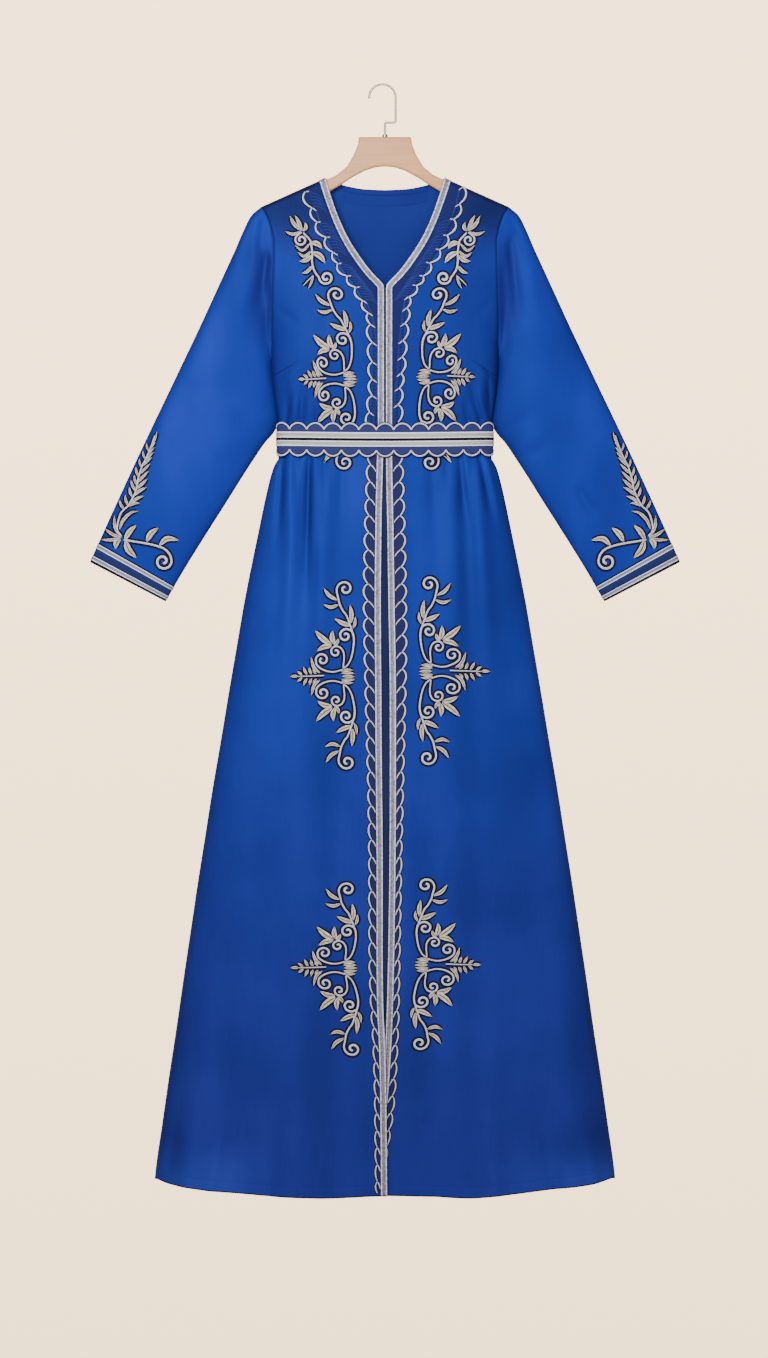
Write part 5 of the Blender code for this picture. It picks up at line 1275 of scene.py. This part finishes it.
# the sprig on each shoulder, from its hub
SPRIG_HUB = (-120.1, -213.6)
SPRIG_CORDS = (
    (((0, 0), (-3.2, -2.6), (-6.2, -5.5)), (2.6, 3.4, 3.6), ((-0.8, -8.2), 6.0, 1.3, 1)),
    (((1.0, -0.6), (7.3, -7.4), (8.8, -11), (10.3, -20.7), (10.2, -29.8), (11.6, -37.7), (15.0, -43.6), (17.2, -46.4)),
     (2.8, 3.0, 4.2), ((24.3, -46.4), 7.1, 1.45, 1)),
    (((11.6, -44.3), (6, -49.5), (1.3, -54.6)), (1.8, 1.8, 1.2), None),
)
SPRIG_LEAVES = (
    (((-0.5, 1.2), (-7.5, 7.5), (-12.2, 16.1)), 5.4),
    (((0.2, 1.2), (-3.2, 9.5), (-6.9, 16.8)), 5.4),
    (((1.2, 0.8), (4.0, 4.4), (3.0, 9.6)), 5.2),
    (((-1.0, 0), (-9, -2.4), (-16.8, 0.4)), 4.6),
    (((9.1, -11), (15.5, -12.2), (20, -17)), 7.6),
    (((10.6, -20.8), (18.0, -24.6), (23.2, -31.6)), 8.6),
    (((8.5, -11.5), (0.6, -18.9), (-7.2, -13.4)), 3.6),
    (((9.7, -19.5), (2.4, -24.8), (-4.2, -20.7)), 4.4),
    (((9.7, -24.3), (4.0, -28.8), (-2.4, -29.8)), 6.6),
    (((10.2, -34.8), (5.4, -40.2), (0, -41.9)), 5.0),
    (((11.6, -44.3), (9.4, -51.5), (6.4, -57.7)), 3.2),
)
# the spray at each cuff, from its hub; X runs away from the outer fold
SPRAY_HUB = (-380.0, -656.4)
SPRAY_CORDS = (
    (((-0.8, 1.5), (-5.4, 8.6), (-2.8, 21.9), (0.6, 27.5), (5.6, 32), (9.1, 38), (12.6, 45), (14.7, 53.5), (15.8, 59.8),
      (19.6, 71.7), (24.5, 81.5), (28.7, 92.1), (32.3, 102.6)), (3.0, 2.6, 1.6), None),
    (((0.8, -1.7), (11.1, -3.5), (23.2, -5.5), (33.5, -7.8), (42.1, -11.2), (47.0, -16.4), (49.0, -22.4)),
     (3.0, 3.4, 4.2), ((40.6, -23.3), 8.4, 1.3, -1)),
)
SPRAY_LEAVES = (
    (((-3.0, 8.6), (0.8, 17.7), (8.4, 25.0), (16.1, 26.8)), 4.8),
    (((7, 31.7), (12, 34.6), (17.5, 34.5)), 4.2),
    (((9.1, 35.2), (15, 39.6), (21.4, 41.9)), 4.4),
    (((11.9, 42.2), (18.0, 47.4), (24.5, 50.7)), 4.4),
    (((14, 48.6), (20, 54.2), (25.2, 59.1)), 4.4),
    (((14.7, 54.9), (21, 61.6), (26.3, 66.8)), 4.2),
    (((17.5, 64), (23, 69.4), (27.5, 74)), 3.8),
    (((20.4, 71.9), (25.4, 77), (29.6, 80.4)), 3.6),
    (((22.9, 77.4), (27.4, 82), (31.2, 85.6)), 3.2),
    (((25.5, 83), (29, 87.2), (32, 90.4)), 3.0),
    (((27.5, 88), (30.4, 92.6), (33, 96)), 2.6),
    (((29.5, 93), (32.6, 99), (34.6, 106)), 2.8),
    (((1.4, 28.9), (-1.6, 33.2), (-3.2, 38)), 3.8),
    (((5.6, 32.4), (3.4, 37.6), (2.8, 42.9)), 3.8),
    (((9.8, 40.8), (7.6, 45.8), (7, 50.7)), 3.8),
    (((12.6, 47.1), (10, 52.4), (8.4, 57.7)), 3.8),
    (((14.4, 52.8), (12.4, 58), (11.9, 63.3)), 3.6),
    (((16, 61), (14, 66), (13.5, 71)), 3.4),
    (((19.5, 70), (17.4, 74.6), (17, 79)), 3.0),
    (((23, 78.5), (21, 82.6), (20.5, 87)), 2.8),
    (((26.5, 86), (24.6, 90.4), (24, 95)), 2.6),
    (((2.5, -1.7), (7.4, 6.6), (13.7, 12.6)), 7.7),
    (((-2.0, -1.7), (-5.9, -4.6), (-6.9, -11.0)), 8.2),
    (((3.0, -2.8), (6.2, -12.0), (13.7, -19.8)), 9.4),
    (((-1.6, 1.0), (-7.4, 11.0), (-8.1, 22.4)), 4.6),
    (((-1.6, 0.4), (-10, 3.6), (-17.8, 9.5)), 4.6),
    (((-1.8, -0.6), (-12, -2.0), (-21.6, -1.7)), 4.6),
    (((24.1, -3.5), (28.4, 4.2), (35.6, 10)), 8.4),
    (((37, -7.3), (44.7, -0.9), (55.9, -2.1)), 7.7),
)
# where the scallops beside the neck meet: x, z
NECK_POINTS = {
    "left": ((-114.7, -155.0), (-105.0, -178.6), (-98.0, -199.4), (-84.1, -221.7), (-74.4, -243.9), (-67.6, -260.3),
             (-53.7, -278.5), (-41.2, -295.1), (-31.5, -314.5), (-23.2, -332.6), (-20.3, -349.3), (-17.5, -375.6),
             (-17.5, -403.4), (-17.5, -428.3), (-17.5, -451.7), (-21.8, -475.5), (-20.5, -500.0)),
    "right": ((112.8, -148.2), (107.3, -173.1), (98.9, -195.3), (89.2, -218.8), (78.2, -239.7), (64.2, -259.1),
              (54.5, -278.5), (44.8, -292.3), (33.8, -309.0), (31.0, -325.7), (28.1, -347.9), (25.4, -372.8),
              (24.1, -396.4), (22.6, -419.9), (19.9, -440.8), (18.4, -464.4), (18.4, -490.0)),
}
# how far the skirt's scallops reach from the braid's outer edge: z, left, right
SCALLOP_REACH = (
    (-514.0, 14.6, 16.0), (-560.0, 15.6, 17.0), (-746.0, 17.4, 18.4), (-900.0, 15.4, 15.0), (-1036.0, 12.9, 11.6),
    (-1137.0, 12.6, 10.0), (-1268.0, 12.2, 9.6), (-1340.0, 10.4, 10.2), (-1421.0, 9.6, 11.0), (-1478.0, 9.4, 11.6),
    (-1530.0, 9.3, 10.0), (-1608.0, 9.2, 8.6),
)
SCALLOP_PITCH = 24.6


def draw(work, place, cords, leaves):
    """Lays charted cords and leaves; place turns chart points into mm on the surface."""
    for points, widths, spiral in cords:
        path = curl(points, *spiral) if spiral else smooth(points)
        work.cord(place(path), *widths)
    for points, width in leaves:
        work.leaf(place(smooth(points)), width)


def scroll_place(side, x, z, up, down, lean_top, lean_foot, outer):
    def place(points, flip=1.0):
        p = np.asarray(points, float) * np.array([1.0, flip])
        across, high = p[:, 0], p[:, 1]
        across = np.where(across < -20, -20 + (across + 20) * outer, across)
        lean = np.where(high > 0, lean_top * np.abs(high) / 87.0, lean_foot * np.abs(high) / 87.0)
        high = high * np.where(high > 0, up, down)
        return np.stack([x - side * (across + lean) * UNIT, z + high * UNIT], -1)

    return place


def hub_place(side, hub):
    def place(points):
        p = np.asarray(points, float)
        return np.stack([-side * (hub[0] + p[:, 0] * UNIT), hub[1] + p[:, 1] * UNIT], -1)

    return place


def bulged(a, b, out, share=0.31, peak=0.42):
    """An arc from a to b that bulges to one side."""
    a, b, out = (np.asarray(v, float) for v in (a, b, out))
    chord = b - a
    length = np.hypot(*chord)
    normal = np.array([-chord[1], chord[0]]) / length
    normal *= np.sign(normal @ out)
    t = np.linspace(0, 1, 25)[:, None]
    skew = t ** (math.log(0.5) / math.log(peak))
    return a + chord * t + normal * length * share * np.sin(math.pi * skew) ** 0.8


# ---------------------------------------------------------------- looks: the cloth
def spaced(count, power, last=1.0):
    return last * (np.arange(count + 1) / count) ** power


def area_of(points):
    a, b = points[1:, 1:] - points[:-1, :-1], points[1:, :-1] - points[:-1, 1:]
    return float(np.linalg.norm(np.cross(a, b), axis=-1).sum() / 2 * MM * MM)


pieces = {}


def panel(name, points, nodes, **options):
    pieces[name] = cloth(name, points, nodes, **options)
    shown = np.concatenate([points, points[:, :1]], 1) if options.get("closed") else points
    round(area_of(shown), 4)
    return pieces[name]


def bodice_front_points(side, across, up):
    u, v = np.meshgrid(across, up)
    plan = bodice_front_plan(u, v)
    return front_look(side * -plan[..., 0], plan[..., 1])


across = np.concatenate([spaced(72, 1.5), np.linspace(1, 2, 6)[1:]])
up = np.concatenate([np.linspace(0, 0.93, 84), 1 - 0.07 * np.linspace(1, 0, 22)[1:] ** 2])
for name, side in (("left", -1), ("right", 1)):
    panel(f"satin_bodice_front_{name}", bodice_front_points(side, across, up), [f"bodice_front_{name}"], finish="shoulders")

half = spaced(50, 1.5)
u, v = np.meshgrid(np.concatenate([half, 2 - half[::-1][1:]]), up)
plan = bodice_back_plan(np.where(u < 1, u, 2 - u), v)
panel("satin_bodice_back", back_look(np.where(u < 1, plan[..., 0], -plan[..., 0]), plan[..., 1]), ["bodice_back"], finish="back")

hem_rows = np.concatenate([np.linspace(0, 20, 15) / 1090, np.linspace(24, 1090, 152) / 1090])
across = np.concatenate([spaced(86, 1.5), np.linspace(1, 2, 6)[1:]])
for name, side, centre in (("left", -1, centre_left), ("right", 1, centre_right)):
    u, v = np.meshgrid(across, hem_rows)
    plan = skirt_plan(u, v, side, centre, hem_z)
    panel(f"satin_skirt_front_{name}", front_look(plan[..., 0], plan[..., 1], right=side > 0), [f"skirt_front_{name}"],
          finish="front")
half = spaced(62, 1.5) / 2
u, v = np.meshgrid(np.concatenate([half, 1 - half[::-1][1:]]), hem_rows)
plan = skirt_back_plan(u, v)
panel("satin_skirt_back", back_look(plan[..., 0], plan[..., 1]), ["skirt_back"], finish="back")

along = np.concatenate([spaced(60, 1.5, 0.5), np.linspace(0.5, 1, 50)[1:]])
turns = np.arange(80) / 80
for name, side in (("left", 1), ("right", -1)):
    t, a = np.meshgrid(turns, along)
    points = sleeve_look(a, t, name) * np.array([side, 1.0, 1.0])
    panel(f"satin_sleeve_{name}", points, [f"sleeve_{name}"], closed=True, finish="sleeve")

levels = np.linspace(Z_HEM + 8.0, Z_V - 8.0, 300)
z = levels[:, None]
low = np.where(z < Z_WAIST, np.minimum(centre_left(z), centre_right(z)), -1.1) - PLACKET_LAP
high = np.where(z < Z_WAIST, np.maximum(centre_left(z), centre_right(z)), 1.1) + PLACKET_LAP
points = front_point(low + (high - low) * np.linspace(0, 1, 9), z + np.zeros(9))
points[..., 1] += PLACKET_BEHIND + LAP_DEPTH * smoothstep(-z, *LAP_REACH)
panel("placket", points, ["front_placket"], finish="placket")

x = np.linspace(-FACING_HALF, FACING_HALF, 49)
top = back_neck_z(np.abs(x)) - 1.2
drop = np.linspace(0, 26.0, 27)[:, None]
points = back_point(x + 0 * drop, top - drop)
points[..., 1] -= SHELL / 2 + 0.08 + 0.80 * (1 - smoothstep(drop, 5.5, 8.0)) * (1 - smoothstep(np.abs(x), FACING_HALF - 7.0, FACING_HALF))
points[..., 1] += 0.46 * np.maximum(smoothstep(drop, 21.0, 25.5), smoothstep(np.abs(x), FACING_HALF - 5.0, FACING_HALF - 0.5))
panel("neck_facing", points, ["back_neck_facing"], finish="inside", thickness=0.4)

place = np.arange(BELT_SCALLOPS * 2 * 16) / (BELT_SCALLOPS * 16)
arc = belt_arc(place)
foot_z, top_z = BELT_FOOT + BELT_SCALLOP_HEIGHT * 1.3 * (1 - arc), BELT_TOP - BELT_SCALLOP_HEIGHT * 1.25 * (1 - arc)
share = np.linspace(0, 1, 9)[:, None]
z = foot_z + (top_z - foot_z) * share
panel("belt_cloth", belt_face(place + 0 * share, z, np.zeros(z.shape)), ["belt"], finish="net", closed=True)


# ---------------------------------------------------------------- looks: the braids
def right_front(x, z, lift):
    return front_look(x, z, True, lift)


def left_front(x, z, lift):
    return front_look(x, z, False, lift)


trims = {}
section = np.array(BRAID_SECTION)
rope = 1 + 0.10 * np.abs(section[:, 0])


def braid_lift(run, height=1.35):
    wave = 0.10 * np.sin(2 * math.pi * run / 2.3)[:, None] * (np.abs(section[:, 0]) > 0.7)
    return FACE - 0.1 + section[:, 1] * height + wave * (section[:, 1] > 0)


for name, side in (("left", -1), ("right", 1)):
    rows = np.concatenate([np.linspace(0.02, 0.96, 430), 1 - 0.04 * np.linspace(1, 0.04, 30)[1:] ** 1.5])
    u, v = np.meshgrid(1.5 + 0.49 * section[:, 0], rows)
    plan = bodice_front_plan(u, v)
    plan[..., 0] *= -side
    run = np.concatenate([[0], np.cumsum(np.hypot(*np.diff(plan[:, 5], axis=0).T))])
    work = Stitching(left_front)
    work.grid(plan, braid_lift(run), run, (section[:, 0] + 1) / 2)
    trims.setdefault(f"satin_bodice_front_{name}", []).append(work.build(f"neck_braid_{name}", "braid", [f"braid_neck_{name}"]))

    centre = centre_left if side < 0 else centre_right
    rows = np.linspace(0.0015, 0.999, 1040)
    u, v = np.meshgrid(1.5 + 0.49 * section[:, 0], rows)
    plan = skirt_plan(u, v, side, centre, hem_z)
    run = np.concatenate([[0], np.cumsum(np.hypot(*np.diff(plan[:, 5], axis=0).T))])
    work = Stitching(right_front if side > 0 else left_front)
    work.grid(plan, braid_lift(run), run, (section[:, 0] + 1) / 2)
    trims.setdefault(f"satin_skirt_front_{name}", []).append(work.build(f"skirt_braid_{name}", "braid", [f"braid_skirt_{name}"]))


def belt_band(name, foot, top, nodes):
    work = Stitching(belt_face)
    run = np.arange(0, 720) / 720 * 2
    plan = np.stack(np.broadcast_arrays(run[:, None], (foot + top) / 2 + section[None, :, 0] * (top - foot) / 2), -1)
    length = run * BELT_RUNS["front"][-1]
    plan = np.concatenate([plan, plan[:1] + np.array([2.0, 0.0])])
    length = np.append(length, 2 * BELT_RUNS["front"][-1])
    work.grid(plan, braid_lift(length, 1.1), length, (section[:, 0] + 1) / 2)
    trims.setdefault("belt_cloth", []).append(work.build(name, "belt_braid", nodes))


for which, top, foot in BELT_BRAIDS:
    belt_band(f"belt_braid_{which}", foot, top, [f"braid_belt_{which}"])


def belt_ribbon(name, foot, top, finish, height):
    work = Stitching(belt_face)
    run = np.arange(0, 601) / 600 * 2
    part = np.array(RIBBON)
    plan = np.stack(np.broadcast_arrays(run[:, None], (foot + top) / 2 + part[None, :, 0] * (top - foot) / 2), -1)
    work.grid(plan, FACE - 0.1 + part[None, :, 1] * height + 0 * run[:, None], run * BELT_RUNS["front"][-1], (part[:, 0] + 1) / 2)
    trims.setdefault("belt_cloth", []).append(work.build(name, finish))


CUFF_ROWS = (("upper", 21.9, 28.9), ("lower", 3.7, 10.5))
# the dark strips along the cuff's edge and beside its braids are painted shadow
CUFF_STRIPS = (("cuff_edge", "dark", ((0.15, 4.1), (28.5, 31.2), (10.2, 11.4))), ("cuff_ground", "cuff_ground", ((11.0, 22.2),)))

belt_ribbon("belt_dark_line", BELT_BRAIDS[1][1] - 0.7, BELT_BRAIDS[0][2] + 0.7, "dark", 1.0)

work = Embroidery(belt_face)
fine = np.linspace(0, 1, 15)
for k in range(2 * BELT_SCALLOPS):
    where = (k + fine) / BELT_SCALLOPS
    arc = (1 - (2 * fine - 1) ** 2) ** 0.75
    for z in (BELT_TOP - 1.6 - BELT_CORD_DROP * (1 - arc), BELT_FOOT + 1.8 + BELT_CORD_DROP * 0.95 * (1 - arc)):
        plan = np.stack([where, z], -1)
        for layer, wide, height, base, part in ((work.cords, 1.25, 1.0, FACE - 0.1, HALF_ROUND), (work.edging, 2.3, 0.3, FACE - 0.1, RIBBON)):
            flat = plan * np.array([BELT_RUNS["front"][-1], 1.0])
            run = np.gradient(flat, axis=0)
            run /= np.linalg.norm(run, axis=1, keepdims=True)
            side = np.stack([-run[:, 1], run[:, 0]], -1)
            part = np.array(part)
            grid = flat[:, None] + side[:, None] * (wide * part[:, 0])[None, :, None]
            grid = grid / np.array([BELT_RUNS["front"][-1], 1.0])
            layer.grid(grid, base + part[None, :, 1] * height + 0 * fine[:, None],
                       np.concatenate([[0], np.cumsum(np.hypot(*np.diff(flat, axis=0).T))]), (part[:, 0] + 1) / 2)
trims["belt_cloth"] += work.build("belt_scallop")

for name, side in (("left", 1), ("right", -1)):
    face = lambda t, a, lift, name=name, side=side: sleeve_face(a, t, name, lift) * np.array([side, 1.0, 1.0])
    for which, low, high in CUFF_ROWS:
        work = Stitching(face)
        run = np.arange(0, 361) / 360
        middle, half = 1 - (low + high) / 2 / 588.0, (high - low) / 2 / 588.0
        plan = np.stack(np.broadcast_arrays(run[:, None], middle - section[None, :, 0] * half), -1)
        length = run * 270.0
        work.grid(plan, braid_lift(length, 0.95), length, (section[:, 0] + 1) / 2)
        trims.setdefault(f"satin_sleeve_{name}", []).append(
            work.build(f"cuff_braid_{name}_{which}", "cuff_braid", [f"braid_cuff_{name}_{which}"]))
    for label, finish, strips in CUFF_STRIPS:
        work = Stitching(face)
        run = np.arange(0, 241) / 240
        part = np.array(RIBBON)
        for low, high in strips:
            plan = np.stack(np.broadcast_arrays(run[:, None], 1 - (low + high) / 2 / 588.0 - part[None, :, 0] * (high - low) / 2 / 588.0), -1)
            work.grid(plan, FACE - 0.1 + part[None, :, 1] * 0.3 + 0 * run[:, None], run * 270.0, (part[:, 0] + 1) / 2)
        trims[f"satin_sleeve_{name}"].append(work.build(f"{label}_{name}", finish))

# ---------------------------------------------------------------- looks: the embroidery
bodice_work = {"left": Embroidery(left_front), "right": Embroidery(left_front)}
skirt_work = {"left": Embroidery(left_front), "right": Embroidery(right_front)}
for name, where, side, *rest in SCROLLS:
    half_name = "left" if side < 0 else "right"
    work = (bodice_work if where == "bodice" else skirt_work)[half_name]
    place = scroll_place(side, *rest)
    for flip in (1.0, -1.0):
        draw(work, lambda p, flip=flip: place(p, flip), HALF_SCROLL_CORDS, HALF_SCROLL_LEAVES)
    draw(work, place, SCROLL_MIDDLE_CORDS, SCROLL_MIDDLE_LEAVES)

neck_grounds = {}
for name, side in (("left", -1), ("right", 1)):
    work = bodice_work[name]
    draw(work, hub_place(side, SPRIG_HUB), SPRIG_CORDS, SPRIG_LEAVES)
    points = NECK_POINTS[name]
    rows = np.linspace(0, 1, 400)
    edge = bodice_front_plan(np.ones_like(rows), rows)
    level = np.linspace(-499.0, -152.0, 150)
    near = np.interp(level, *edge[np.argsort(edge[:, 1])][:, ::-1].T * np.array([[1.0], [-1.0]])) + 0.3
    far = np.interp(level, *np.abs(np.array(points)[::-1])[:, ::-1].T * np.array([[-1.0], [1.0]]))
    share = np.linspace(0, 1, 7)
    plan = np.stack([side * (near[:, None] + (far - near)[:, None] * share), level[:, None] + 0 * share], -1)
    ground = Stitching(left_front)
    ground.grid(np.concatenate([plan, plan[:, ::-1]], 1), np.concatenate([np.full(7, FACE + 0.16), np.full(7, FACE - 0.25)]),
                -level, np.concatenate([share, share[::-1]]))
    neck_grounds[name] = ground.build(f"neck_ground_{name}", "neck_ground")
    for dart in (((side * 161.0, -421.0), (side * 143.0, -411.5), (side * 125.0, -400.0)),):
        path = resample(smooth(dart), 1.6)
        work.edging.lay(path, 0.5 * np.linspace(1, 0.35, len(path)), RIBBON, 0.2, FACE - 0.06)
    for a, b in zip(points, points[1:]):
        steep = abs(b[0] - a[0]) < 9
        out = (side * 1.0, -0.35)
        arc = bulged(a, b, out, 0.30 if not steep else 0.27)
        work.cord(arc, 2.2, 3.4, 2.0, 1.1, edge=1.5)
        inward = np.array([-side * 1.0, 0.10]) if not steep else np.array([-side * 0.8, -0.6])
        tail = 5.5 if not steep else 8.0
        work.cord(smooth([np.array(a), np.array(a) + inward * tail * 0.5 + np.array([0, -0.3]), np.array(a) + inward * tail]),
                  2.4, 1.8, 1.0, 0.9, edge=0.7)
        for share in (0.1, 0.3, 0.5, 0.7, 0.9):
            start = np.array(a) + (np.array(b) - np.array(a)) * share
            reach = np.array([-side * (23.0 if not steep else 7.0), -7.0 - 2.0 * share])
            path = resample(smooth([start, start + reach * 0.5 + np.array([0, 3.4]), start + reach]), 1.6)
            work.feathers.lay(path, 0.50 * np.sin(math.pi * np.linspace(0.05, 0.95, len(path))) ** 0.5, HALF_ROUND, 0.35, FACE - 0.06)

reach_of = {"left": smooth_table(SCALLOP_REACH, 1), "right": smooth_table(SCALLOP_REACH, 2)}
for name, side, centre in (("left", -1, centre_left), ("right", 1, centre_right)):
    work = skirt_work[name]
    ground = Stitching(left_front if side < 0 else right_front)
    top = BELT_FOOT + 12.0

    def edge_x(z):
        return centre(z) + side * BRAID_WIDTH

    start = top
    rows = []
    while start > Z_HEM + 14:
        pitch = min(SCALLOP_PITCH, start - (Z_HEM + 7))
        t = np.linspace(0, 1, 21)
        z = start - pitch * t
        reach = reach_of[name](z) - 1.6
        point = 0.56 * reach
        bulge = np.sin(math.pi * t**0.82) ** 0.72
        away = point + (reach - point) * bulge
        path = np.stack([edge_x(z) + side * away, z], -1)
        fine = np.interp(start, [-1600.0, -700.0], [0.74, 0.94])
        work.cord(path, 2.4 * fine, 3.3 * fine, 2.1 * fine, 1.15, edge=1.4)
        first = path[0]
        low = first[1] - 10.5
        inner = edge_x(low) + side * 0.6
        strand = smooth([first, (first[0] * 0.62 + inner * 0.38, first[1] - 3.0), (first[0] * 0.22 + inner * 0.78, first[1] - 7.0), (inner, low)])
        work.cord(strand, 2.2, 2.0, 1.4, 0.95, edge=0.9)
        rows.append(np.stack([z, away], -1)[:-1])
        start -= pitch
    hem_path = skirt_plan(np.linspace(0.003, 0.998, 300), np.full(300, 0.9 / 1090), side, centre, hem_z)
    # painted shadow: a thin dark line along the hem's edge
    work.edging.lay(hem_path, 0.9, RIBBON, 0.12, FACE - 0.05)
    rows = np.concatenate(rows)
    share = np.linspace(0, 1, 6)
    gx = edge_x(rows[:, 0])[:, None] + side * rows[:, 1][:, None] * share
    plan = np.stack([gx, rows[:, 0][:, None] + 0 * share], -1)
    closed_plan = np.concatenate([plan, plan[:, ::-1]], 1)
    lift = np.concatenate([np.full(6, FACE + 0.16), np.full(6, FACE - 0.25)])
    ground.grid(closed_plan, lift, -rows[:, 0], np.concatenate([share, share[::-1]]))
    trims[f"satin_skirt_front_{name}"].append(ground.build(f"skirt_ground_{name}", "ground"))
    trims[f"satin_skirt_front_{name}"] += work.build(f"skirt_embroidery_{name}")
    trims[f"satin_bodice_front_{name}"] += [neck_grounds[name], *bodice_work[name].build(f"bodice_embroidery_{name}")]


def sleeve_surface(name, side):
    def surface(x, z, lift):
        a, t = sleeve_place(-side * x, z)
        return sleeve_face(a, t, name, lift) * np.array([-side, 1.0, 1.0])

    return surface


for name, side in (("left", -1), ("right", 1)):
    work = Embroidery(sleeve_surface(name, side))
    draw(work, hub_place(side, SPRAY_HUB), SPRAY_CORDS, SPRAY_LEAVES)
    trims[f"satin_sleeve_{name}"] += work.build(f"sleeve_embroidery_{name}")

# ---------------------------------------------------------------- looks: the hanger
for node, finish in (("hanger_wood", "wood"), ("hanger_hook", "steel"), ("hook_ferrule", "steel")):
    shown = frame["nodes"][node]
    shown.data.materials.clear()
    shown.data.materials.append(FINISH[finish])
bevel = frame["nodes"]["hanger_wood"].modifiers.new("soft_edges", "BEVEL")
bevel.width, bevel.segments, bevel.limit_method, bevel.angle_limit = 0.0007, 2, "ANGLE", math.radians(25)

# ---------------------------------------------------------------- looks: what each sheet was cut from
# flat width, flat length, share of that rectangle that the cut takes up
CUT = {
    "satin_bodice_front_left": (0.190, 0.385, 0.0489, ["hanger_wood"]),
    "satin_bodice_front_right": (0.190, 0.385, 0.0489, ["hanger_wood"]),
    "satin_bodice_back": (0.370, 0.385, 0.118, ["hanger_wood"]),
    "satin_skirt_front_left": (0.370, 1.100, 0.287, ["satin_bodice_front_left"]),
    "satin_skirt_front_right": (0.370, 1.100, 0.287, ["satin_bodice_front_right"]),
    "satin_skirt_back": (0.720, 1.100, 0.564, ["satin_bodice_back"]),
    "satin_sleeve_left": (0.400, 0.620, 0.172, ["satin_bodice_front_left", "satin_bodice_back"]),
    "satin_sleeve_right": (0.400, 0.620, 0.172, ["satin_bodice_front_right", "satin_bodice_back"]),
    "placket": (0.045, 1.310, None, ["satin_bodice_front_left"]),
    "neck_facing": (0.130, 0.028, None, ["satin_bodice_back"]),
    "belt_cloth": (0.690, 0.051, None, ["satin_skirt_back"]),
}
for name, (wide, long, area, rests_on) in CUT.items():
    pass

# ---------------------------------------------------------------- looks: light and camera
WALL_TOP = (4.45, 3.15, 1.90)
WALL_FOOT = (3.40, 2.45, 1.52)
WORLD = (0.62, 0.60, 0.58)
scene = bpy.context.scene
sky = bpy.data.worlds.new("studio")
scene.world = sky
sky.use_nodes = True
sky.node_tree.nodes["Background"].inputs["Color"].default_value = (*WORLD, 1)
sky.node_tree.nodes["Background"].inputs["Strength"].default_value = 1.0

# a glowing cream cyclorama far behind the garment; it lights nothing and shows in no reflection, and its glow is
# painted darker towards its foot: painted fall-off of light
WALL_RADIUS, WALL_LOW, WALL_HIGH = 14.0, -14.0, 12.0
wall_tree = bpy.data.materials.new("cream_wall")
wall_tree.use_nodes = True
nodes, links = wall_tree.node_tree.nodes, wall_tree.node_tree.links
nodes.remove(nodes["Principled BSDF"])
glow = nodes.new("ShaderNodeEmission")
where = nodes.new("ShaderNodeTexCoord")
split = nodes.new("ShaderNodeSeparateXYZ")
fall = nodes.new("ShaderNodeMapRange")
fall.inputs["From Min"].default_value = -4.2
fall.inputs["From Max"].default_value = 1.2
shade = nodes.new("ShaderNodeMix")
shade.data_type = "RGBA"
shade.inputs[6].default_value = (*WALL_FOOT, 1)
shade.inputs[7].default_value = (*WALL_TOP, 1)
links.new(where.outputs["Object"], split.inputs[0])
links.new(split.outputs[2], fall.inputs[0])
links.new(fall.outputs[0], shade.inputs[0])
links.new(shade.outputs[2], glow.inputs["Color"])
links.new(glow.outputs[0], nodes["Material Output"].inputs["Surface"])
t = np.linspace(0, 2 * math.pi, 49)
ring = [(WALL_RADIUS * math.cos(a), WALL_RADIUS * math.sin(a)) for a in t]
wall_data = bpy.data.meshes.new("wall")
wall_data.from_pydata([(x, y, z) for z in (WALL_LOW, WALL_HIGH) for x, y in ring], [],
                      [(i, i + 1, i + 50, i + 49) for i in range(48)])
wall_data.materials.append(wall_tree)
wall = bpy.data.objects.new("wall", wall_data)
scene.collection.objects.link(wall)
wall.visible_glossy = wall.visible_diffuse = False

floor_tree = Tree("pale_floor")
floor_tree.set(Base_Color=(0.80, 0.76, 0.70, 1), Roughness=0.9)
t = np.linspace(0, 2 * math.pi, 65)[:-1]
floor_data = bpy.data.meshes.new("floor")
floor_data.from_pydata([(1.5 * math.cos(a), 1.5 * math.sin(a), -2.12) for a in t], [], [list(range(64))])
floor_data.materials.append(floor_tree.material)
floor = bpy.data.objects.new("floor", floor_data)
scene.collection.objects.link(floor)


def area_light(name, place, target, size, watts, spread, colour=(1, 1, 1)):
    data = bpy.data.lights.new(name, "AREA")
    data.shape = "RECTANGLE"
    data.size, data.size_y = size
    data.energy = watts
    data.color = colour
    made = bpy.data.objects.new(name, data)
    scene.collection.objects.link(made)
    made.location = place
    way = np.array(target, float) - np.array(place, float)
    way /= np.linalg.norm(way)
    yaw, pitch = math.atan2(way[1], way[0]), math.asin(-way[2])
    made.rotation_euler = (math.pi / 2 - pitch, 0, yaw - math.pi / 2)
    data.spread = spread
    made.visible_camera = False
    return made


area_light("key", (-0.62, -2.15, 0.2), (0, 0, -0.45), (1.0, 1.0), 29.5, math.radians(120))
area_light("fill", (0.9, -2.2, -0.5), (0, 0, -0.6), (1.4, 1.0), 8.5, math.radians(180))

area_light("behind", (0.5, 2.6, -0.1), (0, 0, -0.6), (1.6, 1.6), 26.0, math.radians(150))

camera_data = bpy.data.cameras.new("camera")
camera_data.lens = 109.7
camera_data.sensor_width = 36.0
camera = bpy.data.objects.new("camera", camera_data)
scene.collection.objects.link(camera)
camera.location = (0.00235, -6.0, -0.8606)
camera.rotation_euler = (math.pi / 2, 0, 0)
scene.camera = camera
